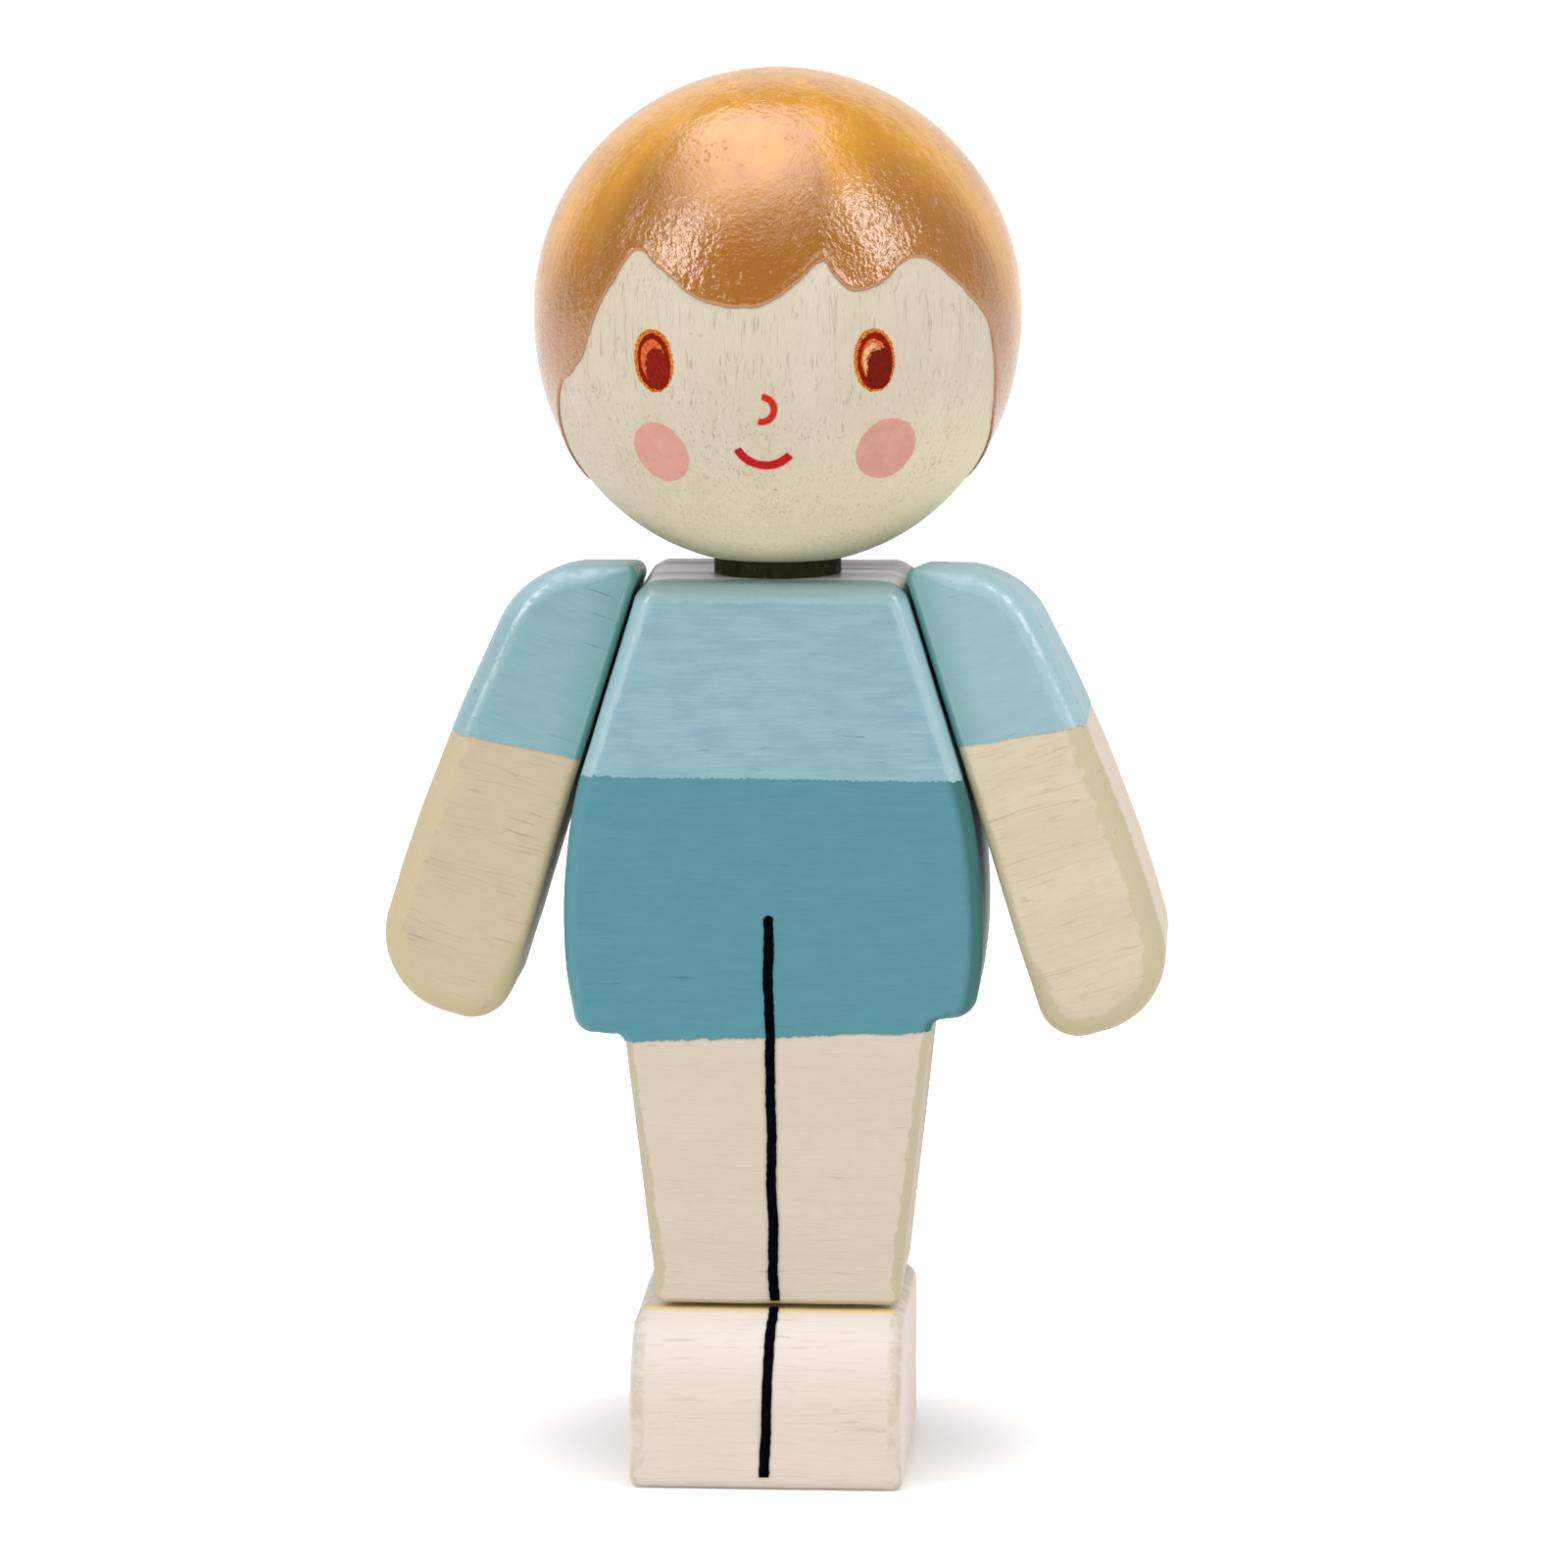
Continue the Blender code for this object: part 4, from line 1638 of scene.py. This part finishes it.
@dataclass
class Neck:
    """The stained dowel between the body and the ball, darkened further as painted shade in the
    narrow gap under the head.
    """

    diameter: float = 7.8
    shown: float = 0.45
    chamfer: float = 0.4
    in_body: float = 5.0
    in_head: float = 10.0
    steps: int = 64

    def build(self, body: BodyBlock, effects: Effects) -> None:
        """Makes the dowel.

        Args:
            body: The body block, for its top.
            effects: The shared effects for the finish.
        """
        low = body.top_z - self.in_body + GAP
        high = body.top_z + self.shown + self.in_head - GAP
        radius = self.diameter / 2
        profile = [(0.0, low), (radius - self.chamfer, low), (radius, low + self.chamfer)]
        for z in (body.top_z, body.top_z + self.shown / 2, body.top_z + self.shown):
            profile.append((radius, z))
        profile += [(radius, high - self.chamfer), (radius - self.chamfer, high), (0.0, high)]
        dowel = turned("neck_wood", profile, self.steps)
        smooth(dowel, 35)
        # Its dark brown is partly the dowel's staining and partly painted shade in the narrow gap
        # under the head.
        stain_and_shade = Enamel("neck_stain", base=(62, 60, 34), varied=(44, 44, 22),
                       light=(110, 104, 80), roughness=0.6, size=1.2)
        dress(dowel, stain_and_shade.build(effects), "torso")
        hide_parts("neck_dowel")


@dataclass
class Hair:
    """The painted hair: a coat over the ball above a scalloped hairline."""

    ball: Ball
    columns: int = 400
    rows: int = 84
    depth: float = 0.06
    lip_height: float = 0.09
    lip_width: float = 0.45
    fray: float = 0.6
    # Azimuth and elevation of the hairline in degrees, from the ball's centre, round from
    # the back over the figure's right, front and left to the back again
    hairline: tuple = (
        (-180, -47), (-140, -47), (-110, -46), (-90, -43), (-81, -37), (-69.5, -24.5),
        (-61.5, -15.7), (-54, -11.5), (-48.1, -6.5), (-44.4, 1.4), (-38.5, 10.8),
        (-33, 18.0), (-25.4, 13.7), (-16.8, 8.1), (-10.1, 5.8), (-5.1, 5.4), (1.3, 6.6),
        (7.9, 11.0), (14.3, 16.4), (17, 12.5), (21.5, 9.2), (27.2, 10.2), (34.4, 15.2),
        (38.5, 16.3), (43.6, 14.8), (52.8, 7.8), (61.2, 0.6), (64.9, -7.7), (70.9, -21),
        (80, -31), (88, -38), (100, -44), (120, -47), (150, -47), (180, -47))

    def elevation(self, azimuth: float) -> float:
        """Finds the hairline's elevation, on a smooth curve through its points.

        Args:
            azimuth: The azimuth, in degrees.

        Returns:
            The elevation, in degrees.
        """
        knots = self.hairline
        index = next(i for i in range(len(knots) - 1) if azimuth <= knots[i + 1][0])
        (start, low), (end, high) = knots[index], knots[index + 1]
        before = knots[index - 1] if index else (start - 40, low)
        after = knots[index + 2] if index + 2 < len(knots) else (end + 40, high)
        width = end - start
        share = (azimuth - start) / width
        slope_in = (high - before[1]) / (end - before[0]) * width
        slope_out = (after[1] - low) / (after[0] - start) * width
        square, cube = share ** 2, share ** 3
        return ((2 * cube - 3 * square + 1) * low + (cube - 2 * square + share) * slope_in
                + (3 * square - 2 * cube) * high + (cube - square) * slope_out)

    def build(self, effects: Effects) -> None:
        """Makes the coat from the upper half of a sphere, drawn down to the hairline.

        Args:
            effects: The shared effects for the finish.
        """
        piece = add_piece("hair_paint", bpy.ops.mesh.primitive_uv_sphere_add,
                          segments=self.columns, ring_count=2 * self.rows,
                          radius=self.ball.radius * MM)
        with editing(piece):
            choose(piece, "verts", lambda vert: vert.co.z < -0.01 * MM)
            bpy.ops.mesh.delete(type="VERT")
        places = [self.settle_point(vert) for vert in piece.data.vertices]
        layer = piece.data.uv_layers[0]
        layer.name = "hair"
        for loop in piece.data.loops:
            layer.data[loop.index].uv = places[loop.vertex_index]
        apply_modifier(piece, "SOLIDIFY", thickness=4 * self.depth * MM, offset=-1.0,
                       use_rim=True)
        smooth(piece)
        dress(piece, HairPaint("copper_hair").build(effects), "head")

    def settle_point(self, vert: bpy.types.MeshVertex) -> Point:
        """Moves one point of the half sphere to its place in the coat.

        Args:
            vert: The point, whose height on the half sphere tells its row.

        Returns:
            How far round and how far from the hairline it lies, in millimetres.
        """
        height = min(1.0, max(0.0, vert.co.z / (self.ball.radius * MM)))
        azimuth = math.atan2(vert.co.x, -vert.co.y)
        rise = (math.asin(height) / (math.pi / 2)) ** 1.5
        border = self.elevation(math.degrees(azimuth))
        around = Vector((math.sin(azimuth), -math.cos(azimuth), border / 60)) * 15 * MM
        border += self.fray * (wander(around, 1.1, 11) + 0.5 * wander(around, 0.4, 12))
        start = self.ball.angle_at(math.radians(border))
        angle = start + (math.pi / 2 - start) * rise
        distance = (angle - start) * self.ball.radius
        vert.co = self.ball.point(azimuth, angle, self.lift(azimuth, distance))
        return azimuth * self.ball.radius, distance

    def lift(self, azimuth: float, distance: float) -> float:
        """Finds the coat's height over the wood, with a raised lip along the hairline.

        Args:
            azimuth: The direction round the axis.
            distance: How far from the hairline, in millimetres.

        Returns:
            The height, in millimetres.
        """
        spot = Vector((azimuth * self.ball.radius / 5, distance, 0)) * MM
        inner = min(distance / 0.25, 1.0)
        rounded = math.sqrt(1 - (1 - inner) ** 2)
        lip = self.lip_height * math.exp(-(distance / self.lip_width - 0.6) ** 2 * 2)
        near = max(0.0, 1 - distance / 14)
        waves = (0.004 + 0.01 * near) * (wander(spot, 0.5, 21) + wander(spot, 1.2, 22))
        return rounded * (self.depth + lip * (1 + 0.4 * wander(spot, 0.8, 23)) + waves) + 0.005


@dataclass
class Dab:
    """A painted shape laid on the face: an uneven oval, seen from the front."""

    name: str
    centre: Point
    width: float
    height: float
    tilt: float = 0.0
    fray: float = 0.05
    fray_size: float = 0.5
    lift: float = 0.03
    squareness: float = 2.2
    seed: float = 1.0
    points: int = 180
    rings: int = 6

    def build(self, wood: Piece) -> Piece:
        """Makes the oval before the face and lays it on the wood.

        Args:
            wood: The head.

        Returns:
            The thin piece.
        """
        piece = add_piece(self.name, bpy.ops.mesh.primitive_circle_add, vertices=self.points,
                          radius=MM, fill_type="NGON", rotation=(math.pi / 2, 0, 0))
        power = 2 / self.squareness
        for vert in piece.data.vertices:
            angle = math.atan2(vert.co.z, vert.co.x)
            across = math.copysign(abs(math.cos(angle)) ** power, math.cos(angle))
            up = math.copysign(abs(math.sin(angle)) ** power, math.sin(angle))
            spot = Vector((across * self.width / 2, 0, up * self.height / 2)) * MM
            outward = Vector((math.cos(angle), 0, math.sin(angle)))
            vert.co = spot + outward * (self.fray * wander(spot, self.fray_size, self.seed) * MM)
        with editing(piece, "FACE"):
            choose_all()
            bpy.ops.transform.rotate(value=-self.tilt, orient_axis="Y", center_override=(0, 0, 0))
            place = Vector((self.centre[0], DRAWING_Y, self.centre[1])) * MM
            bpy.ops.transform.translate(value=place)
            for ring in range(self.rings - 1, 0, -1):
                extrude()
                bpy.ops.transform.resize(value=(ring / (ring + 1),) * 3, center_override=place)
        lay_on(piece, wood, self.lift)
        return piece


@dataclass
class Stroke:
    """A curved brush stroke on the face, made by sweeping its width round an arc."""

    name: str
    centre: Point
    radius: float
    width: float
    start: float
    sweep: float
    end_radius: float
    seed: float
    fray: float = 0.03
    lift: float = 0.03

    def build(self, wood: Piece) -> Piece:
        """Makes the stroke before the face and lays it on the wood.

        Args:
            wood: The head.

        Returns:
            The thin piece.
        """
        middle = Vector((self.centre[0], DRAWING_Y, self.centre[1])) * MM
        piece = add_piece(self.name, bpy.ops.mesh.primitive_plane_add, size=MM,
                          rotation=(math.pi / 2, 0, 0))
        with editing(piece):
            choose(piece, "verts", lambda vert: vert.co.z > 0)
            bpy.ops.mesh.delete(type="VERT")
            choose_all()
            bpy.ops.mesh.subdivide(number_cuts=3)
        for vert in piece.data.vertices:
            out = self.radius - self.width / 2 + self.width * (vert.co.x / MM + 0.5)
            vert.co = Vector((out * math.cos(self.start), 0, out * math.sin(self.start))) * MM
            vert.co += middle
        with editing(piece):
            choose_all()
            bpy.ops.mesh.spin(steps=40, angle=self.sweep, center=middle, axis=(0, 1, 0))
            choose(piece, "verts", lambda vert: len(vert.link_faces) == 1)
            bpy.ops.mesh.bevel(offset=self.end_radius * MM, segments=5, affect="VERTICES")
        for vert in piece.data.vertices:
            arm = vert.co - middle
            outward = Vector((arm.x, 0, arm.z)).normalized()
            vert.co += outward * (self.fray * wander(vert.co, 0.3, self.seed) * MM)
        lay_on(piece, wood, self.lift)
        return piece


@dataclass
class Face:
    """The painted features on the ball."""

    right_eye: Point = (-6.62, 68.98)
    left_eye: Point = (6.55, 69.1)
    # Each layer of an eye: its word, its place from the eye's middle, its width and height,
    # its fray and its lift
    eye_layers: tuple = (
        ("outline", (0.0, 0.0), 2.36, 3.78, 0.09, 0.02),
        ("ring", (0.03, -0.05), 2.0, 3.4, 0.07, 0.035),
        ("glow", (-0.02, 0.02), 1.5, 2.52, 0.07, 0.05),
        ("cream", (-0.1, 0.0), 1.14, 2.1, 0.06, 0.06),
        ("pupil", (0.24, -0.46), 1.42, 2.46, 0.05, 0.07))
    # Each paint: its name, its colour, its varied and its light tone, and the size and the
    # share of its unevenness
    paints: tuple = (
        ("eye_outline", (230, 138, 30), (168, 52, 20), (252, 214, 78), 0.13, 0.8),
        ("eye_ring", (142, 22, 8), (116, 17, 7), (196, 70, 36), 0.2, 0.3),
        ("eye_glow", (222, 112, 52), (190, 66, 34), (248, 196, 120), 0.16, 0.7),
        ("eye_cream", (240, 196, 140), (226, 150, 88), (250, 226, 190), 0.18, 0.6),
        ("eye_red", (146, 27, 10), (120, 21, 8), (204, 84, 44), 0.2, 0.35),
        ("eye_brown", (122, 25, 7), (104, 21, 7), (150, 50, 28), 0.3, 0.25),
        ("smile_red", (206, 30, 34), (180, 24, 28), (230, 90, 50), 0.2, 0.3),
        ("nose_red", (218, 40, 36), (196, 34, 30), (240, 120, 60), 0.2, 0.3))

    def eye(self, side: Side, centre: Point, tilt: float, paints: tuple) -> list:
        """Lists one eye's layers of paint, from the outline up to the pupil.

        Args:
            side: The figure's side.
            centre: The eye's middle in the front view, in millimetres.
            tilt: How far its top leans to the figure's left, in radians.
            paints: The name of each layer's paint; an empty one leaves that layer out.

        Returns:
            Each layer's shape with the name of its paint.
        """
        shapes = []
        for index, (layer, paint) in enumerate(zip(self.eye_layers, paints)):
            word, shift, width, height, fray, lift = layer
            if paint:
                place = (centre[0] + shift[0], centre[1] + shift[1])
                dab = Dab("eye_" + word + "_" + side.word, place, width, height, tilt,
                          fray, 0.11, lift, 2.1, 60 + index + 10 * side.value)
                shapes.append((dab, paint))
        return shapes

    def build(self, wood: Piece, effects: Effects) -> None:
        """Makes the eyes, nose, smile and cheeks.

        Args:
            wood: The head.
            effects: The shared effects for the finishes.
        """
        materials = {}
        for name, base, varied, light, size, share in self.paints:
            paint = Enamel(name, base=base, varied=varied, light=light, size=size, share=share)
            materials[name] = paint.build(effects)
        pink = Enamel("cheek_pink", base=(225, 166, 150), varied=(220, 158, 143),
                      light=(232, 188, 168), roughness=0.6, size=1.5)
        materials[pink.name] = pink.build(effects)
        shapes = self.eye(Side.RIGHT, self.right_eye, -0.1,
                          ("eye_outline", "eye_ring", "eye_glow", "", "eye_red"))
        shapes += self.eye(Side.LEFT, self.left_eye, -0.03,
                           ("eye_outline", "eye_ring", "eye_glow", "eye_cream", "eye_brown"))
        shapes += [
            (Dab("cheek_right", (-6.28, 63.35), 3.0, 3.9, -0.62, 0.05, 0.25, 0.012, 2.15, 35),
             "cheek_pink"),
            (Dab("cheek_left", (7.14, 63.62), 3.1, 3.98, 0.62, 0.06, 0.25, 0.012, 2.15, 36),
             "cheek_pink"),
            (Stroke("nose", (-0.14, 66.22), 0.77, 0.39, math.radians(-104), math.radians(190),
                    0.14, 37), "nose_red"),
            (Stroke("smile", (0.06, 64.63), 1.9, 0.49, math.radians(207.5), math.radians(112),
                    0.2, 38), "smile_red"),
        ]
        for shape, name in shapes:
            dress(shape.build(wood), materials[name], "head")


@dataclass
class LegLine:
    """The painted line that parts the legs, and its run over the foot."""

    width: float = 0.6
    top: Point = (-0.12, 34.65)
    bottom: Point = (0.2, 10.75)
    foot_drift: float = -0.25
    foot_end_z: float = 0.85
    fray: float = 0.09
    lift: float = 0.04
    cap_steps: int = 6
    leg_steps: int = 176
    toe_steps: int = 30
    foot_steps: int = 14

    def strip(self, name: str, place: Vector) -> Piece:
        """Adds a short edge as wide as the line, ready to be extruded.

        Args:
            name: The line's name.
            place: The edge's middle, in metres.

        Returns:
            The piece.
        """
        piece = add_piece(name, bpy.ops.mesh.primitive_plane_add, size=self.width * MM)
        with editing(piece):
            choose(piece, "verts", lambda vert: vert.co.y > 0)
            bpy.ops.mesh.delete(type="VERT")
            choose_all()
            bpy.ops.mesh.subdivide(number_cuts=2)
            choose_all()
            bpy.ops.transform.translate(value=place + Vector((0, self.width * MM / 2, 0)))
        return piece

    def build(self, foot: FootBlock, wood: Piece, effects: Effects) -> None:
        """Makes the line on the block, with its round top end, and the line over the foot.

        Args:
            foot: The foot block.
            wood: The bare body, which the line lies on.
            effects: The shared effects for the finishes.
        """
        ink = Enamel("leg_line", base=(9, 10, 14), varied=(4, 5, 8), light=(16, 20, 30),
                     roughness=0.55, share=0.3, gloss=0.0).build(effects)
        top = Vector((self.top[0], DRAWING_Y, self.top[1])) * MM
        run = Vector((self.bottom[0] - self.top[0], 0, self.bottom[1] - self.top[1])) * MM
        piece = self.strip("leg_line", top)
        cap = self.width / 2 * MM
        down = [cap * (1 - math.cos(math.pi / 2 * step / self.cap_steps))
                for step in range(self.cap_steps + 1)]
        falls = [low - high for high, low in zip(down, down[1:])]
        falls += [(run.length - cap) / self.leg_steps] * self.leg_steps
        with editing(piece):
            choose_all()
            for fall in falls:
                extrude(run.normalized() * fall)
        for vert in piece.data.vertices:
            above = min(max(1 - (top.z - vert.co.z) / cap, 0.0), 0.98)
            vert.co.x = top.x + (vert.co.x - top.x) * math.sqrt(1 - above ** 2)
        self.roughen(piece, 41)
        lay_on(piece, wood, self.lift + 0.05)
        dress(piece, ink, "torso")
        dress(self.over_foot(foot), ink, "torso")

    def over_foot(self, foot: FootBlock) -> Piece:
        """Makes the line that runs over the toe and down the foot's front.

        Args:
            foot: The foot block.

        Returns:
            The line.
        """
        radius = foot.toe_radius
        bend_z = foot.height - radius
        centre = Vector((0, radius - foot.front, bend_z)) * MM
        start = Vector((self.bottom[0], radius - foot.front, foot.height)) * MM
        piece = self.strip("foot_line", start)
        with editing(piece):
            choose_all()
            bpy.ops.mesh.spin(steps=self.toe_steps, angle=-math.pi / 2, center=centre,
                              axis=(1, 0, 0))
            for _ in range(self.foot_steps):
                extrude(Vector((0, 0, self.foot_end_z - bend_z)) * MM / self.foot_steps)
        for vert in piece.data.vertices:
            fall = 1 - vert.co.z / (foot.height * MM)
            vert.co.x += self.foot_drift * fall * MM
        self.roughen(piece, 43)
        face_forward(piece)
        thicken_sheet(piece, 2 * (self.lift + 0.04))
        return piece

    def roughen(self, piece: Piece, seed: float) -> None:
        """Makes the line's edges wobble.

        Args:
            piece: The line.
            seed: Tells its wobble from another's.
        """
        for vert in piece.data.vertices:
            spot = Vector((0, vert.co.y, vert.co.z))
            middle = wander(spot, 4.0, seed) * 1.2
            edge = wander(vert.co, 0.28, seed + 1) + wander(vert.co, 1.6, seed + 2)
            vert.co.x += self.fray * (middle + 0.6 * edge) * MM


@dataclass
class HiddenPegs:
    """The dowels inside the figure, which keep their plain solids and get a wood finish."""

    nodes: tuple = ("ankle_dowel", "shoulder_peg_left", "shoulder_peg_right")

    def dress(self, effects: Effects) -> None:
        """Gives each dowel its finish.

        Args:
            effects: The shared effects for the finish.
        """
        plain = (205, 186, 150)
        wood = LimedWood("dowel_wood", base=plain, grey=(192, 172, 136), edge=(198, 178, 140),
                         side=plain, top=plain, top_back=plain).build(effects)
        for name in self.nodes:
            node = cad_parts[name]
            for slot in node.material_slots:
                slot.material = wood
            if not node.material_slots:
                node.data.materials.append(wood)
            LOG.info("%s: dressed", name)


def direction(azimuth: float, elevation: float) -> Vector:
    """Gives the direction at an azimuth from the front and an elevation, in radians."""
    return Vector((math.sin(azimuth) * math.cos(elevation),
                   -math.cos(azimuth) * math.cos(elevation), math.sin(elevation)))


def stand(name: str, data: bpy.types.ID, place: Vector, back: Vector) -> bpy.types.Object:
    """Stands a lamp or a camera at its place.

    Args:
        name: Its name.
        data: The lamp or camera.
        place: Its place, in metres.
        back: The direction opposite to the one that it faces.

    Returns:
        The object.
    """
    thing = bpy.data.objects.new(name, data)
    thing.location = place
    thing.rotation_mode = "QUATERNION"
    thing.rotation_quaternion = back.to_track_quat("Z", "Y")
    bpy.context.scene.collection.objects.link(thing)
    return thing


@dataclass(frozen=True)
class Softbox:
    """A soft lamp that shines at the figure's middle.

    Its azimuth and elevation are in degrees, its distance, width and height in metres.
    """

    name: str
    azimuth: float
    elevation: float
    distance: float
    width: float
    height: float
    radiance: float
    aimed_at: tuple = (0, 0, 0.045)

    def hang(self) -> None:
        """Hangs the lamp."""
        data = bpy.data.lights.new(self.name, "AREA")
        data.shape = "RECTANGLE"
        data.size, data.size_y = self.width, self.height
        data.energy = self.radiance * math.pi * self.width * self.height
        back = direction(math.radians(self.azimuth), math.radians(self.elevation))
        stand(self.name, data, Vector(self.aimed_at) + back * self.distance, back)


@dataclass
class Studio:
    """The floor, the light and the camera."""

    distance: float = 500.0
    azimuth: float = math.radians(3.4)
    elevation: float = math.radians(8.4)
    target: tuple = (0.38, 0.0, 41.6)
    focal_pixels: float = 8275.0
    image_size: float = 1600.0
    sensor: float = 36.0
    ambient: tuple = (0.45, 0.45, 0.45, 1)
    mirrored_front: tuple = (0.16, 0.15, 0.14, 1)
    mirrored_right: tuple = (0.46, 0.41, 0.31, 1)
    mirrored_left: tuple = (0.32, 0.29, 0.22, 1)
    mirrored_back: tuple = (0.95, 0.95, 0.97, 1)
    overhead_glow: tuple = (1.25, 1.2, 1.9, 1)
    softboxes: tuple = (Softbox("overhead_softbox", -38, 76, 0.5, 0.66, 0.56, 0.9),
                        Softbox("left_softbox", -52, 28, 0.6, 0.19, 0.38, 5.2),
                        Softbox("right_softbox", 61, 36, 0.6, 0.17, 0.46, 5.3))

    def camera(self) -> None:
        """Places the camera at the photograph's angle."""
        data = bpy.data.cameras.new("camera")
        data.sensor_width = self.sensor
        data.lens = self.focal_pixels * self.sensor / self.image_size
        data.clip_start = 10 * MM
        back = direction(self.azimuth, self.elevation)
        place = (Vector(self.target) + back * self.distance) * MM
        bpy.context.scene.camera = stand("camera", data, place, back)

    def surroundings(self) -> None:
        """Makes the world: white where it is seen, and darker before the figure in mirrors."""
        world = bpy.data.worlds.new("studio")
        world.use_nodes = True
        bpy.context.scene.world = world
        graph = Graph(world.node_tree)
        across, depth, up = graph.split(graph.add("ShaderNodeTexCoord").outputs["Generated"])
        mirrored = graph.mix(graph.band(across, 0.3, 0.8), self.mirrored_front,
                             self.mirrored_right)
        mirrored = graph.mix(graph.band(across, -0.3, -0.8), mirrored, self.mirrored_left)
        behind = graph.weigh((depth, 1.0), (up, -0.35))
        mirrored = graph.mix(graph.band(behind, 0.32, 0.56), mirrored, self.mirrored_back)
        off_side = graph.math("ABSOLUTE", graph.math("ADD", across, 0.12))
        panel = graph.overlap(graph.band(off_side, 0.46, 0.28),
                              graph.band(graph.math("ABSOLUTE", depth), 0.54, 0.38),
                              graph.math("GREATER_THAN", up, 0.0))
        mirrored = graph.mix(panel, mirrored, self.overhead_glow)
        path = graph.add("ShaderNodeLightPath").outputs
        shiny = graph.either(path["Is Glossy Ray"], path["Is Transmission Ray"])
        colour = graph.mix(shiny, self.ambient, mirrored)
        colour = graph.mix(path["Is Camera Ray"], colour, (1, 1, 1, 1))
        graph.feed(world.node_tree.nodes["Background"].inputs, {"Color": colour, "Strength": 1.0})

    def floor(self) -> None:
        """Lays the pale floor, which turns to plain white away from the figure."""
        floor = add_piece("floor", bpy.ops.mesh.primitive_plane_add, size=6.0)
        material = bpy.data.materials.new("floor_white")
        material.use_nodes = True
        graph = Graph(material.node_tree)
        place = graph.add("ShaderNodeTexCoord").outputs["Object"]
        away = graph.add("ShaderNodeVectorMath", {0: place}, operation="LENGTH").outputs["Value"]
        path = graph.add("ShaderNodeLightPath").outputs
        seen = graph.either(path["Is Camera Ray"], graph.overlap(path["Is Glossy Ray"], 0.68),
                            path["Is Transmission Ray"])
        graph.feed(material.node_tree.nodes["Principled BSDF"].inputs, {
            "Base Color": (0.9, 0.885, 0.88, 1), "Roughness": 0.9,
            "Emission Color": (1, 1, 1, 1),
            "Emission Strength": graph.overlap(seen, graph.band(away, 0.005, 0.036))})
        floor.data.materials.append(material)

    def build(self) -> None:
        """Sets up the whole studio."""
        bpy.context.scene.view_settings.view_transform = "Standard"
        self.camera()
        self.surroundings()
        self.floor()
        for softbox in self.softboxes:
            softbox.hang()


def main() -> None:
    """Builds the figure from the ground up and sets up the studio."""
    logging.basicConfig(level=logging.INFO, format="%(name)s: %(message)s")
    effects = Effects(GrainGroup(), RimGroup(), SpeckGroup())
    body = BodyBlock()
    foot = FootBlock()
    body_wood = body.build(effects)
    foot.build(effects)
    LegLine().build(foot, body_wood, effects)
    Neck().build(body, effects)
    head = Head()
    head_wood = head.build(effects)
    Hair(head.ball).build(effects)
    Face().build(head_wood, effects)
    right_cuff = PaintLine((-19.63, 45.56), (-11.53, 44.0), True, 0.05, 6.0)
    left_cuff = PaintLine((11.63, 44.98), (19.67, 46.37), True, 0.05, 7.0)
    Arm(Side.LEFT, 29.9, math.radians(10.6), left_cuff).build(body, effects)
    Arm(Side.RIGHT, 29.1, math.radians(8.6), right_cuff).build(body, effects)
    HiddenPegs().dress(effects)
    Studio().build()


if __name__ == "__main__":
    main()
